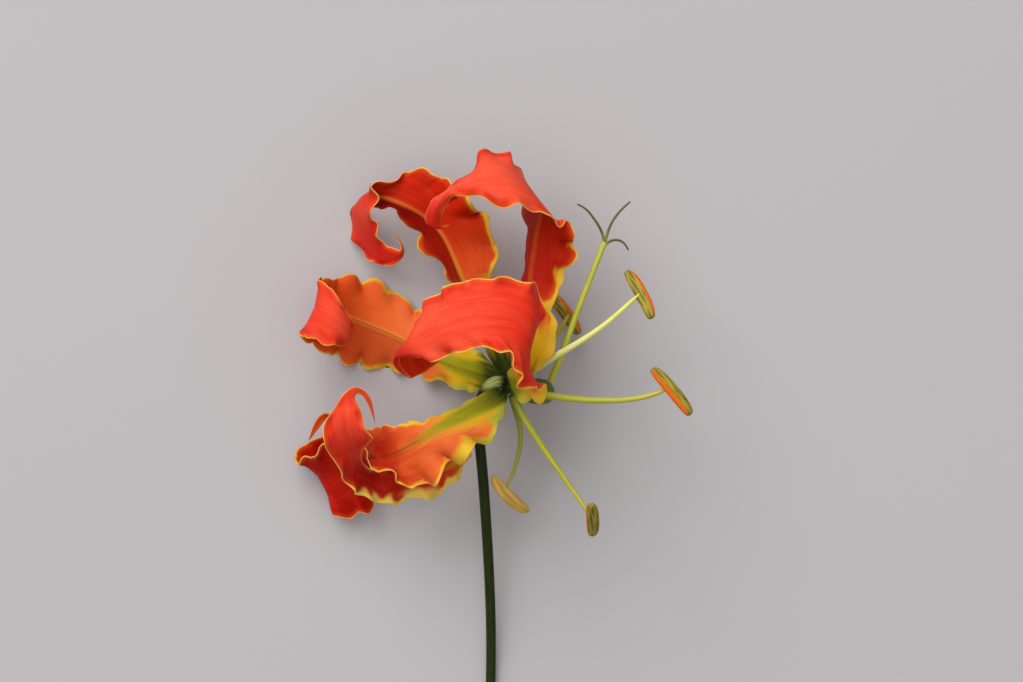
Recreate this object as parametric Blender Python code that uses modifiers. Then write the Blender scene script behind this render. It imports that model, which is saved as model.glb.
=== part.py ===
"""A cut flame lily bloom with its stalk, lying on its side.

The bloom is worked out in millimetres in its own frame: the receptacle, where
the six tepals meet, is the origin, +X runs the way the flower faces, +Y is
towards the two upper tepals, and +Z is up from the table. A last step moves
the bloom up onto the table and over the origin.
"""

import math

import bmesh
import bpy
import numpy as np
from mathutils import Matrix, Vector

MM = 0.001

# Where the table is below the receptacle, and the middle of the bloom's box.
TABLE_DEPTH = 20.0
MIDDLE_X = -3.45
MIDDLE_Y = -16.64

# The way the flower faces, and the two directions round its axis.
FACING = np.array((0.886, -0.302, -0.352))
RING_UP = np.array((0.277, 0.955, -0.110))
RING_NEAR = np.array((0.364, 0.0, 0.931))

# Tepals: thin sheets of one thickness, in rows from claw to tip.
TEPAL_THICKNESS = 0.62
TEPAL_ROWS = 56
TEPAL_COLUMNS = (-1.0, -0.86, -0.62, -0.3, 0.0, 0.3, 0.62, 0.86, 1.0)
KEEL = 0.5

# Receptacle and stalk.
RECEPTACLE_RADIUS = 1.4
STALK_RADII = (1.25, 0.95)

# Stamens: filaments start in a ring in front of the tepals.
FILAMENT_RING_FORWARD = 1.6
FILAMENT_RING_RADIUS = 1.9
FILAMENT_POINTS = 14
ANTHER_LENGTH = 12.4
ANTHER_WIDTH = 2.8
ANTHER_DEPTH = 2.2

# Pistil.
OVARY_POINTING = np.array((0.93, -0.21, -0.30))
OVARY_START = 2.2
OVARY_LENGTH = 7.6
OVARY_RADIUS = 2.9
STYLE_RADIUS = 0.55
STIGMA_RADIUS = 0.34

# Each tepal has ribs from claw to tip. A rib is the place of its first margin,
# its midrib and its second margin. The waves are their length and where the
# first and second margins' waves start, and the frills are the waves' heights
# at each rib.
TEPALS = {
    "tepal_upper_left": {
        "waves": (6.5, 0, 0.3),
        "first_frill": (0.0, 0.3, 0.8, 1.2, 1.6, 1.7, 1.3, 1.0, 0.9, 0.8, 0.9, 0.8, 0.7, 0.6, 0.4, 0.2, 0.0, 0.0),
        "second_frill": (0.0, 0.2, 0.6, 0.9, 1.0, 0.9, 0.8, 0.6, 0.6, 0.8, 0.9, 0.8, 0.7, 0.6, 0.4, 0.2, 0.0, 0.0),
        "ribs": (
            ((0.6, 1.6, -0.2), (0.2, 1.8, -1.2), (-0.3, 1.4, -2.8)),
            ((2.0, 6.6, -2.0), (-1.0, 5.8, -6.2), (-3.6, 4.6, -12.0)),
            ((-1.0, 14.2, -1.0), (-4.4, 13.2, -6.0), (-6.8, 13.6, -11.0)),
            ((-3.2, 20.6, -3.0), (-8.8, 20.4, -6.0), (-10.6, 21.0, -11.0)),
            ((-1.6, 27.4, -3.0), (-11.4, 27.2, -7.0), (-16.8, 27.4, -11.0)),
            ((-4.0, 34.8, -3.0), (-13.4, 31.2, -7.0), (-19.6, 31.2, -11.0)),
            ((-10.0, 39.2, -4.0), (-17.2, 34.6, -7.0), (-21.2, 34.6, -11.0)),
            ((-14.4, 43.6, -6.0), (-20.6, 36.2, -7.0), (-23.0, 35.4, -10.0)),
            ((-20.0, 44.0, -8.0), (-23.4, 37.4, -7.5), (-24.2, 36.4, -10.0)),
            ((-24.8, 40.6, -4.0), (-27.0, 38.6, -9.0), (-27.4, 35.6, -13.0)),
            ((-25.8, 40.2, -3.0), (-30.2, 38.4, -11.0), (-32.4, 35.2, -18.0)),
            ((-27.4, 36.2, -5.0), (-30.4, 35.0, -12.0), (-33.0, 33.0, -20.0)),
            ((-26.8, 32.8, -7.0), (-28.8, 31.4, -12.5), (-31.2, 29.6, -19.0)),
            ((-25.6, 29.6, -9.0), (-27.6, 28.0, -12.0), (-29.6, 26.6, -15.5)),
            ((-23.8, 27.8, -9.5), (-25.2, 26.0, -10.5), (-26.8, 24.0, -12.0)),
            ((-22.0, 27.2, -9.0), (-22.2, 25.8, -9.5), (-22.2, 24.2, -10.5)),
            ((-21.2, 27.4, -8.0), (-20.8, 27.2, -8.5), (-20.4, 27.0, -9.0)),
            ((-22.4, 30.2, -7.0), (-22.3, 30.1, -7.0), (-22.2, 30.0, -7.0)),
        ),
    },
    "tepal_upper_right": {
        "waves": (6.5, 0.2, 0.5),
        "first_frill": (0.0, 0.2, 0.3, 0.5, 0.9, 1.0, 1.0, 0.9, 0.8, 0.7, 0.6, 0.5, 0.4, 0.4, 0.3, 0.2, 0.0, 0.0),
        "second_frill": (0.0, 0.2, 0.4, 0.4, 0.3, 0.3, 0.3, 0.4, 0.6, 0.9, 0.9, 0.9, 0.6, 0.4, 0.3, 0.2, 0.0, 0.0),
        "ribs": (
            ((0.9, 0.9, 1.7), (0.8, 1.5, 1.1), (0.7, 2.0, 0.4)),
            ((7.4, 3.4, 5.0), (3.0, 5.6, 4.0), (0.8, 6.8, 1.0)),
            ((10.6, 9.2, 4.5), (4.8, 11.6, 4.0), (2.0, 12.2, -2.0)),
            ((8.6, 15.4, 3.5), (4.6, 16.6, 2.5), (2.0, 17.2, -5.0)),
            ((10.4, 20.0, 1.0), (4.2, 21.2, 1.0), (3.0, 21.2, -6.0)),
            ((13.8, 26.0, 0.5), (5.2, 26.8, 0.5), (3.8, 26.8, -7.0)),
            ((13.6, 31.2, 2.5), (6.0, 32.0, 1.5), (3.4, 32.8, -8.0)),
            ((10.8, 32.0, 6.8), (7.4, 35.6, 4.0), (2.8, 39.2, -8.0)),
            ((7.0, 33.8, 10.2), (5.0, 38.4, 7.5), (2.0, 44.0, -5.0)),
            ((2.2, 36.6, 12.0), (1.4, 40.4, 9.5), (-0.4, 47.0, 0.0)),
            ((0.0, 34.0, 12.5), (-1.8, 41.0, 10.5), (-4.0, 48.0, 2.0)),
            ((-4.8, 37.8, 12.0), (-5.6, 41.0, 10.5), (-6.8, 44.2, 3.0)),
            ((-8.4, 37.6, 10.5), (-9.3, 39.4, 9.5), (-10.0, 40.4, 4.0)),
            ((-10.4, 38.1, 8.5), (-11.6, 38.8, 8.5), (-12.2, 39.5, 6.0)),
            ((-12.8, 36.0, 7.0), (-13.5, 37.0, 8.0), (-14.0, 37.8, 6.0)),
            ((-13.4, 33.4, 5.5), (-15.2, 33.8, 7.0), (-17.0, 34.7, 5.0)),
            ((-12.8, 31.4, 5.0), (-14.4, 30.8, 5.5), (-16.2, 31.4, 4.5)),
            ((-11.6, 32.2, 5.0), (-11.6, 32.1, 5.0), (-11.6, 32.0, 5.0)),
        ),
    },
    "tepal_front": {
        "waves": (6.0, 0.1, 0.4),
        "first_frill": (0.0, 0.6, 1.1, 1.2, 0.8, 0.6, 0.7, 0.9, 1.0, 1.0, 0.7, 0.4, 0.3, 0.1, 0.0),
        "second_frill": (0.0, 0.2, 0.4, 0.6, 0.8, 0.9, 0.8, 0.8, 0.8, 0.7, 0.5, 0.4, 0.3, 0.1, 0.0),
        "ribs": (
            ((0.3, -1.1, 1.8), (0.6, -0.3, 1.8), (0.9, 0.5, 1.9)),
            ((2.0, -3.2, 4.5), (0.8, -0.2, 5.2), (-0.6, 2.4, 4.5)),
            ((8.0, -2.4, 8.0), (3.4, 1.4, 10.5), (2.0, 6.8, 11.0)),
            ((7.2, 0.2, 13.0), (3.6, 4.0, 15.0), (4.4, 10.4, 13.5)),
            ((3.2, -1.0, 17.8), (4.6, 7.8, 18.5), (7.8, 16.6, 15.5)),
            ((1.2, 0.2, 20.5), (4.4, 11.6, 20.5), (6.0, 20.4, 17.5)),
            ((3.0, 3.0, 23.0), (0.8, 13.8, 21.0), (0.8, 21.8, 18.5)),
            ((-0.4, 7.2, 24.0), (-4.4, 14.2, 21.0), (-4.2, 21.4, 18.0)),
            ((-6.0, 7.8, 23.0), (-9.6, 13.6, 20.0), (-10.2, 21.0, 17.0)),
            ((-10.0, 6.4, 20.0), (-13.6, 12.6, 17.5), (-14.8, 18.2, 14.0)),
            ((-12.6, 5.6, 17.0), (-17.4, 10.0, 14.5), (-16.4, 16.6, 10.5)),
            ((-16.0, 4.8, 14.0), (-21.0, 8.0, 11.5), (-18.4, 10.8, 4.0)),
            ((-19.8, 6.8, 11.0), (-23.0, 5.6, 8.0), (-12.4, 5.2, 1.5)),
            ((-22.6, 5.6, 7.5), (-22.2, 3.2, 5.0), (-16.0, 3.2, 1.5)),
            ((-19.6, 1.8, 3.5), (-19.4, 1.7, 3.2), (-19.2, 1.6, 3.0)),
        ),
    },
    "tepal_left": {
        "waves": (6.0, 0.3, 0.1),
        "first_frill": (0.0, 0.2, 0.4, 0.6, 0.8, 0.9, 0.9, 0.8, 0.5, 0.4, 0.3, 0.4, 0.4, 0.2, 0.0, 0.0),
        "second_frill": (0.0, 0.3, 0.5, 0.7, 0.9, 1.0, 0.9, 0.8, 0.6, 0.4, 0.3, 0.4, 0.4, 0.2, 0.0, 0.0),
        "ribs": (
            ((-0.4, 1.0, -1.6), (-0.6, 0.3, -1.7), (-0.9, -0.4, -1.9)),
            ((-3.5, 5.2, -5.2), (-3.8, 2.2, -5.4), (-4.0, -1.0, -6.4)),
            ((-7.2, 8.0, -10.0), (-8.0, 3.2, -10.5), (-9.2, -1.6, -12.0)),
            ((-14.2, 12.2, -16.0), (-15.0, 6.0, -15.0), (-14.4, 0.8, -17.0)),
            ((-19.6, 16.4, -19.0), (-21.2, 9.2, -17.0), (-21.2, 3.4, -19.5)),
            ((-24.0, 20.4, -19.5), (-25.4, 11.1, -17.5), (-26.4, 2.8, -20.0)),
            ((-29.2, 22.0, -18.5), (-29.2, 12.6, -17.5), (-31.6, 4.0, -19.5)),
            ((-33.2, 22.4, -16.0), (-33.2, 14.0, -16.0), (-36.4, 6.2, -18.0)),
            ((-36.0, 21.4, -11.0), (-37.0, 15.4, -12.0), (-39.8, 7.8, -13.0)),
            ((-38.4, 22.0, -7.0), (-39.4, 16.0, -7.0), (-42.8, 10.4, -8.0)),
            ((-37.4, 21.4, -3.0), (-38.0, 15.2, -2.5), (-40.6, 9.6, -3.0)),
            ((-34.8, 19.0, -1.0), (-35.4, 13.8, -0.5), (-37.2, 8.4, -1.0)),
            ((-32.4, 15.4, -2.0), (-32.6, 11.6, -2.0), (-34.0, 7.6, -2.5)),
            ((-30.8, 12.2, -5.0), (-31.4, 10.0, -5.0), (-32.6, 8.2, -5.0)),
            ((-32.2, 10.4, -8.0), (-32.4, 9.8, -8.0), (-32.6, 9.2, -8.0)),
            ((-34.4, 10.4, -7.5), (-34.4, 10.2, -7.5), (-34.4, 10.0, -7.5)),
        ),
    },
    "tepal_lower_near": {
        "waves": (6.5, 0.6, 0.2),
        "first_frill": (0.0, 0.0, 0.1, 0.1, 0.1, 0.2, 0.3, 0.4, 0.4, 0.5, 0.6, 1.0, 1.0, 0.8, 0.6, 0.4, 0.2, 0.1, 0.0, 0.0, 0.0, 0.0),
        "second_frill": (0.0, 0.0, 0.5, 1.1, 1.9, 2.3, 2.3, 1.7, 0.7, 0.1, 0.1, 0.2, 0.4, 0.5, 0.5, 0.3, 0.1, 0.0, 0.0, 0.0, 0.0, 0.0),
        "ribs": (
            ((-0.8, -1.6, 1.5), (-0.4, -1.4, 2.1), (-0.1, -1.3, 2.6)),
            ((-2.4, 0.1, 2.9), (-1.2, -1.1, 3.2), (-0.1, -2.3, 3.6)),
            ((-4.6, -1.1, 3.2), (-2.6, -2.8, 3.9), (-0.2, -3.8, 5.0)),
            ((-8.4, -3.2, 3.2), (-6.0, -4.3, 4.4), (-1.4, -6.6, 6.0)),
            ((-13.0, -5.5, 2.5), (-10.6, -6.6, 4.5), (-3.0, -11.4, 5.5)),
            ((-17.2, -6.8, 2.0), (-15.0, -9.0, 4.0), (-8.2, -12.6, 6.5)),
            ((-21.2, -7.4, 1.0), (-19.2, -11.7, 3.0), (-13.6, -19.2, 4.5)),
            ((-24.4, -8.0, -1.0), (-22.8, -13.6, 1.5), (-19.4, -21.4, 2.2)),
            ((-27.2, -7.8, -3.5), (-25.6, -14.4, -0.5), (-24.0, -16.2, 3.5)),
            ((-29.2, -10.0, -10.0), (-27.2, -14.6, -2.5), (-27.8, -17.0, 2.0)),
            ((-28.8, -17.6, -15.0), (-29.0, -14.8, -7.5), (-27.8, -14.4, 0.0)),
            ((-25.6, -24.8, -16.0), (-31.6, -15.6, -11.5), (-28.4, -10.8, -3.0)),
            ((-30.4, -27.0, -15.0), (-34.6, -18.0, -13.0), (-37.0, -11.0, -7.0)),
            ((-34.4, -27.0, -15.5), (-37.6, -18.8, -14.0), (-39.8, -14.8, -9.5)),
            ((-35.4, -25.2, -18.5), (-39.2, -18.4, -17.0), (-44.2, -15.6, -13.5)),
            ((-34.8, -20.8, -20.4), (-38.0, -15.6, -19.7), (-43.2, -12.8, -17.5)),
            ((-34.0, -14.8, -18.0), (-36.0, -12.8, -17.5), (-39.2, -10.8, -16.5)),
            ((-33.8, -10.0, -13.0), (-34.8, -9.6, -13.0), (-36.0, -9.4, -13.0)),
            ((-34.6, -6.4, -8.5), (-35.4, -6.2, -8.5), (-36.0, -6.4, -8.5)),
            ((-37.2, -4.8, -6.5), (-37.0, -5.6, -6.5), (-36.6, -6.6, -6.5)),
            ((-39.2, -7.6, -6.0), (-38.8, -8.1, -6.0), (-38.2, -8.8, -6.0)),
            ((-40.1, -11.0, -6.0), (-40.1, -11.0, -6.0), (-40.0, -11.0, -6.0)),
        ),
    },
    "tepal_lower_far": {
        "waves": (6.5, 0.2, 0.7),
        "first_frill": (0.0, 0.3, 0.7, 1.0, 1.0, 1.0, 0.9, 0.7, 0.6, 0.5, 0.4, 0.4, 0.3, 0.2, 0.1, 0.0, 0.0, 0.0),
        "second_frill": (0.0, 0.1, 0.2, 0.2, 0.2, 0.2, 0.1, 0.1, 0.1, 0.2, 0.4, 0.4, 0.3, 0.2, 0.1, 0.0, 0.0, 0.0),
        "ribs": (
            ((-1.1, -0.7, -1.7), (-0.9, -1.3, -1.0), (-0.7, -1.8, -0.3)),
            ((-6.4, -2.6, -6.6), (-4.0, -4.4, -5.2), (-2.4, -6.0, -2.5)),
            ((-7.0, -12.4, -12.0), (-6.8, -10.2, -8.9), (-6.0, -8.8, -6.4)),
            ((-9.8, -19.6, -13.0), (-11.2, -14.4, -10.0), (-10.8, -10.8, -7.5)),
            ((-14.8, -23.0, -13.5), (-16.2, -16.8, -10.5), (-16.0, -12.8, -7.5)),
            ((-20.6, -23.4, -12.5), (-20.6, -19.2, -9.8), (-20.8, -15.4, -7.5)),
            ((-24.8, -24.6, -10.5), (-24.8, -20.0, -8.2), (-24.8, -16.4, -6.2)),
            ((-28.6, -22.6, -6.5), (-28.4, -18.8, -4.8), (-28.0, -16.8, -3.2)),
            ((-31.8, -21.2, -3.0), (-30.6, -16.2, -0.5), (-29.6, -14.8, 0.6)),
            ((-33.6, -16.6, 2.0), (-31.2, -12.8, 4.0), (-28.8, -12.0, 5.0)),
            ((-36.2, -12.6, 5.5), (-31.6, -10.0, 7.0), (-26.2, -10.8, 7.0)),
            ((-37.4, -8.8, 7.5), (-32.2, -7.0, 8.5), (-28.8, -7.6, 8.5)),
            ((-34.8, -4.8, 8.0), (-32.3, -4.2, 8.5), (-29.2, -4.4, 8.5)),
            ((-33.0, -2.0, 7.5), (-31.8, -1.8, 7.5), (-30.6, -2.6, 7.5)),
            ((-31.2, 0.2, 6.5), (-30.6, -0.4, 6.5), (-30.2, -1.2, 6.5)),
            ((-28.4, -0.4, 6.0), (-28.7, -1.0, 6.0), (-29.0, -1.6, 6.0)),
            ((-26.8, -3.2, 5.5), (-27.2, -3.4, 5.5), (-27.6, -3.8, 5.5)),
            ((-26.4, -7.6, 5.0), (-26.4, -7.6, 5.0), (-26.4, -7.6, 5.0)),
        ),
    },
}

# Each filament's angle round the flower, its route and its width at base and
# end, then the anther's middle, the way it points and how much it bends.
STAMENS = {
    "right": {
        "angle": 100,
        "route": ((4.8, -1.5, 3.4), (9.0, -2.0, 4.7), (15.0, -2.8, 5.6), (23.0, -2.9, 6.6),
                  (28.0, -2.0, 7.3), (31.2, -0.8, 8.0)),
        "radii": (0.85, 0.42),
        "anther": ((32.5, -0.9, 9.9), (7.8, -9.4, 1.0), 0.3),
    },
    "upper_right": {
        "angle": 40,
        "route": ((4.8, 3.0, 2.0), (9.0, 5.8, 3.6), (13.5, 8.3, 4.6), (18.6, 11.6, 5.6),
                  (22.5, 15.0, 6.6), (26.0, 18.9, 8.0)),
        "radii": (0.8, 0.4),
        "anther": ((26.3, 18.3, 6.1), (4.6, -8.9, 5.2), 0.4),
    },
    "far_right": {
        "angle": 340,
        "route": ((4.4, 3.9, -5.0), (8.0, 7.6, -10.0), (10.2, 10.6, -12.6), (11.9, 14.6, -13.6)),
        "radii": (0.7, 0.4),
        "anther": ((11.7, 14.5, -15.8), (4.6, -6.6, 6.0), 0.3),
    },
    "lower_left": {
        "angle": 222,
        "route": ((1.8, -5.8, -3.4), (2.6, -8.8, -4.2), (2.6, -11.4, -5.0), (2.0, -14.8, -6.0),
                  (0.8, -18.2, -6.2), (0.0, -20.4, -5.7)),
        "radii": (0.6, 0.32),
        "anther": ((0.3, -22.1, -8.2), (7.2, -7.4, -6.9), -0.6),
    },
    "lower_right": {
        "angle": 170,
        "route": ((2.8, -5.8, 1.4), (6.4, -11.4, 2.6), (10.4, -17.2, 3.1), (13.4, -21.4, 3.0),
                  (16.3, -25.0, 2.6)),
        "radii": (0.75, 0.4),
        "anther": ((16.8, -26.6, 3.8), (0.4, -6.0, -9.4), 0.2),
    },
    "far": {
        "angle": 280,
        "route": ((1.6, 0.8, -6.5), (3.2, 3.2, -11.0), (4.6, 6.4, -15.0), (5.0, 8.6, -16.9)),
        "radii": (0.7, 0.4),
        "anther": ((5.4, 9.4, -19.1), (1.8, 11.0, 0.0), 0.3),
    },
}

# The stalk from the receptacle to its cut end on the table.
STALK_ROUTE = (
    (-0.6, 0.4, 0.3), (-1.9, 1.0, 1.2), (-3.2, 0.7, 1.6), (-4.6, -0.7, 0.8), (-5.7, -2.9, -0.9),
    (-6.2, -6.0, -2.8), (-5.9, -10.0, -4.6), (-5.2, -16.0, -6.4), (-4.2, -30.8, -11.0),
    (-3.6, -42.8, -15.0), (-3.4, -52.8, -17.8), (-3.6, -62.8, -19.22), (-4.0, -80.8, -19.27),
)

# The style leaves the ovary's end at a right angle and ends in three arms.
STYLE_ROUTE = (
    (7.2, -1.4, -3.2), (8.4, 0.6, -3.2), (9.6, 3.6, -3.0), (10.8, 6.2, -3.0), (13.8, 14.8, -3.0),
    (17.8, 24.8, -3.0), (19.4, 28.8, -3.0),
)
STIGMA_ROUTES = (
    ((19.4, 28.6, -3.0), (18.8, 31.2, -2.4), (17.2, 33.6, -1.6), (15.6, 35.6, -1.0), (13.8, 36.4, -0.8)),
    ((19.4, 28.6, -3.0), (20.2, 31.8, -3.2), (21.8, 34.4, -3.4), (23.4, 36.0, -3.4), (24.6, 37.0, -3.4)),
    ((19.4, 28.2, -3.0), (20.6, 29.2, -3.8), (22.0, 29.4, -4.2), (23.4, 28.8, -4.4), (24.2, 27.2, -4.4)),
)

# Base colour, roughness.
COLOURS = {
    "tepal": ((0.78, 0.10, 0.03, 1.0), 0.45),
    "filament": ((0.55, 0.58, 0.10, 1.0), 0.5),
    "anther": ((0.40, 0.22, 0.03, 1.0), 0.8),
    "pistil": ((0.22, 0.33, 0.05, 1.0), 0.5),
    "stalk": ((0.05, 0.10, 0.02, 1.0), 0.4),
}


def clear_scene():
    """Remove whatever the open file shows."""
    for obj in list(bpy.data.objects):
        bpy.data.objects.remove(obj)


def make_collection(name):
    """Return a new collection, linked to the scene."""
    collection = bpy.data.collections.new(name)
    bpy.context.scene.collection.children.link(collection)
    return collection


def make_material(name, kind):
    """Return a Principled material of one of the flower's colours."""
    colour, roughness = COLOURS[kind]
    material = bpy.data.materials.new(name)
    material.use_nodes = True
    shader = material.node_tree.nodes["Principled BSDF"]
    shader.inputs["Base Color"].default_value = colour
    shader.inputs["Roughness"].default_value = roughness
    shader.inputs["Metallic"].default_value = 0.0
    return material


def to_table(point):
    """Turn a place on the flower, in millimetres, into metres on the table."""
    x, y, z = point
    return Vector((x - MIDDLE_X, y - MIDDLE_Y, z + TABLE_DEPTH)) * MM


def ease(low, high, value):
    """Rise smoothly from 0 at low to 1 at high."""
    share = min(1.0, max(0.0, (value - low) / (high - low)))
    return share * share * (3.0 - 2.0 * share)


def on_curve(points, share):
    """Return the place a share of the way along a smooth curve led by points."""
    last = len(points) - 1
    first = min(int(share * last), last - 1)
    part = share * last - first
    weights = (
        (1.0 - part) ** 3,
        3.0 * part**3 - 6.0 * part**2 + 4.0,
        -3.0 * part**3 + 3.0 * part**2 + 3.0 * part + 1.0,
        part**3,
    )
    total = np.zeros(3)
    for weight, index in zip(weights, range(first - 1, first + 3)):
        if index < 0:
            place = 2.0 * points[0] - points[1]
        elif index > last:
            place = 2.0 * points[last] - points[last - 1]
        else:
            place = points[index]
        total += weight * place
    return total / 6.0


def lengths_along(places):
    """Return how far along a run of places each one is."""
    steps = np.linalg.norm(np.diff(places, axis=0), axis=1)
    return np.concatenate(([0.0], np.cumsum(steps)))


def unit(rows):
    """Return vectors of length one."""
    return rows / (np.linalg.norm(rows, axis=-1, keepdims=True) + 1e-9)


def tepal_grid(ribs, rows, columns):
    """Return a smooth sheet through the ribs, and its three guide lines."""
    guides = []
    for side in range(3):
        lead = [np.array(rib[side]) for rib in ribs]
        guides.append(np.array([on_curve(lead, row / rows) for row in range(rows + 1)]))
    first, middle, second = guides
    sheet = np.zeros((rows + 1, len(columns), 3))
    for column, across in enumerate(columns):
        bowed = middle + across * (second - first) / 2.0 + across**2 * ((first + second) / 2.0 - middle)
        side = second if across > 0 else first
        keeled = middle + abs(across) * (side - middle)
        sheet[:, column] = (1.0 - KEEL) * bowed + KEEL * keeled
    return sheet, guides


def frill_margins(sheet, guides, columns, plan, turn):
    """Throw the sheet into waves that grow towards its margins."""
    first, middle, second = guides
    length, start_first, start_second = plan["waves"]
    rows = len(sheet) - 1
    along = np.gradient(sheet, axis=0)
    across_way = np.gradient(sheet, axis=1)
    outward = unit(np.cross(across_way, along))
    along = unit(along)
    across_way = unit(across_way)
    waved = sheet.copy()
    for column, across in enumerate(columns):
        margin, start, side = (second, start_second, 1.0) if across > 0 else (first, start_first, -1.0)
        heights = plan["second_frill"] if across > 0 else plan["first_frill"]
        run = lengths_along(margin)
        depth = ease(0.35, 1.0, abs(across)) ** 1.3
        for row in range(rows + 1):
            height = np.interp(row / rows * (len(heights) - 1), range(len(heights)), heights)
            drift = 0.9 * math.sin(0.23 * run[row] + turn + (0.0 if side > 0 else 2.0))
            phase = 2.0 * math.pi * (run[row] / length + start) + drift
            swell = height * depth * (1.0 + 0.35 * math.sin(0.31 * run[row] + 1.7 * turn))
            waved[row, column] += swell * (
                math.sin(phase) * outward[row, column]
                + 0.36 * math.cos(phase) * along[row, column]
                + 0.5 * side * math.cos(phase + 0.6) * across_way[row, column]
            )
    return waved


def tepal_mesh(name, plan, turn):
    """Return a tepal's waved sheet as a mesh of triangles."""
    sheet, guides = tepal_grid(plan["ribs"], TEPAL_ROWS, TEPAL_COLUMNS)
    waved = frill_margins(sheet, guides, TEPAL_COLUMNS, plan, turn)
    body = bmesh.new()
    grid = [[body.verts.new(to_table(place)) for place in row] for row in waved]
    for near, far in zip(grid, grid[1:]):
        for column in range(len(near) - 1):
            body.faces.new((near[column], near[column + 1], far[column + 1], far[column]))
    bmesh.ops.triangulate(body, faces=body.faces[:], quad_method="SHORT_EDGE")
    mesh = bpy.data.meshes.new(name)
    body.to_mesh(mesh)
    body.free()
    return mesh


def solid_copy(obj):
    """Return an object's mesh with its modifiers worked in."""
    return bpy.data.meshes.new_from_object(obj.evaluated_get(bpy.context.evaluated_depsgraph_get()))


def set_on_table(mesh):
    """Press flat what would reach below the table, where the flower rests."""
    for vertex in mesh.vertices:
        vertex.co.z = max(vertex.co.z, 0.0)


def make_tepal(name, plan, turn, collection):
    """Make one tepal, a closed sheet of even thickness."""
    obj = bpy.data.objects.new(name, tepal_mesh(name, plan, turn))
    collection.objects.link(obj)
    thick = obj.modifiers.new("thickness", "SOLIDIFY")
    thick.thickness = TEPAL_THICKNESS * MM
    thick.offset = 0.0
    thick.use_even_offset = False
    sheet = obj.data
    obj.data = solid_copy(obj)
    obj.data.name = name
    obj.modifiers.clear()
    bpy.data.meshes.remove(sheet)
    set_on_table(obj.data)
    obj.data.shade_smooth()
    obj.data.set_sharp_from_angle(angle=math.radians(60))
    obj.data.materials.append(make_material(name, "tepal"))
    return obj


def closed_mesh(body, mesh):
    """Write a closed shape into a mesh with its faces pointing out."""
    bmesh.ops.recalc_face_normals(body, faces=body.faces[:])
    if body.calc_volume(signed=True) < 0.0:
        bmesh.ops.reverse_faces(body, faces=body.faces[:])
    body.to_mesh(mesh)
    body.free()
    return mesh


def tube_mesh(name, route, radii, points):
    """Return a closed tube that follows a smooth route and tapers evenly."""
    curve = bpy.data.curves.new(name, "CURVE")
    curve.dimensions = "3D"
    curve.bevel_depth = MM
    curve.bevel_resolution = 2
    curve.use_fill_caps = True
    spline = curve.splines.new("POLY")
    spline.points.add(points)
    lead = [np.array(place) for place in route]
    for index in range(points + 1):
        share = index / points
        spline.points[index].co = (*to_table(on_curve(lead, share)), 1.0)
        spline.points[index].radius = radii[0] + (radii[1] - radii[0]) * share
    holder = bpy.data.objects.new(name, curve)
    bpy.context.scene.collection.objects.link(holder)
    bpy.context.view_layer.update()
    mesh = solid_copy(holder)
    bpy.data.objects.remove(holder)
    bpy.data.curves.remove(curve)
    body = bmesh.new()
    body.from_mesh(mesh)
    bmesh.ops.remove_doubles(body, verts=body.verts[:], dist=0.00001)
    return closed_mesh(body, mesh)


def show(name, mesh, kind, collection, angle=60):
    """Make a named object of a finished mesh."""
    obj = bpy.data.objects.new(name, mesh)
    mesh.name = name
    collection.objects.link(obj)
    mesh.shade_smooth()
    mesh.set_sharp_from_angle(angle=math.radians(angle))
    mesh.materials.clear()
    mesh.materials.append(make_material(name, kind))
    return obj


def join_solids(name, meshes, kind, collection, cutters):
    """Fuse several closed meshes into one object."""
    obj = show(name, meshes[0], kind, collection)
    for number, mesh in enumerate(meshes[1:]):
        other = bpy.data.objects.new(name + "_joined_%d" % number, mesh)
        cutters.objects.link(other)
        other.hide_render = True
        other.display_type = "WIRE"
        fuse = obj.modifiers.new("joined_%d" % number, "BOOLEAN")
        fuse.operation = "UNION"
        fuse.object = other
    return obj


def ring_place(angle, forward, radius):
    """Return a place round the flower's axis."""
    turn = math.radians(angle)
    return FACING * forward + radius * (math.cos(turn) * RING_UP + math.sin(turn) * RING_NEAR)


def anther_mesh(middle, pointing, bend):
    """Return an anther: a long pod with a groove down each side, bent a little."""
    mesh = bpy.data.meshes.new("anther")
    body = bmesh.new()
    bmesh.ops.create_uvsphere(body, u_segments=12, v_segments=11, radius=1.0)
    length_way = unit(np.array(pointing, dtype=float))
    side_way = unit(np.cross((0.0, 0.0, 1.0), length_way))
    depth_way = np.cross(length_way, side_way)
    for vertex in body.verts:
        x, y, z = vertex.co
        blunt = math.copysign(abs(z) ** 0.9, z)
        full = max(1e-6, 1.0 - z * z) ** -0.22
        pinch = 1.0 - 0.16 * math.exp(-((x / 0.35) ** 2)) * (1.0 - z * z)
        place = (
            np.array(middle)
            + length_way * blunt * ANTHER_LENGTH / 2.0
            + side_way * (x * full * ANTHER_WIDTH / 2.0 + bend * (0.5 - z * z))
            + depth_way * y * full * pinch * ANTHER_DEPTH / 2.0
        )
        vertex.co = to_table(place)
    return closed_mesh(body, mesh)


def make_stamen(name, plan, collection):
    """Make one stamen: its filament, and its anther across the end."""
    start = ring_place(plan["angle"], FILAMENT_RING_FORWARD, FILAMENT_RING_RADIUS)
    filament = tube_mesh("filament_" + name, (tuple(start), *plan["route"]), plan["radii"], FILAMENT_POINTS)
    set_on_table(filament)
    show("filament_" + name, filament, "filament", collection)
    anther = anther_mesh(*plan["anther"])
    set_on_table(anther)
    show("anther_" + name, anther, "anther", collection)


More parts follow.
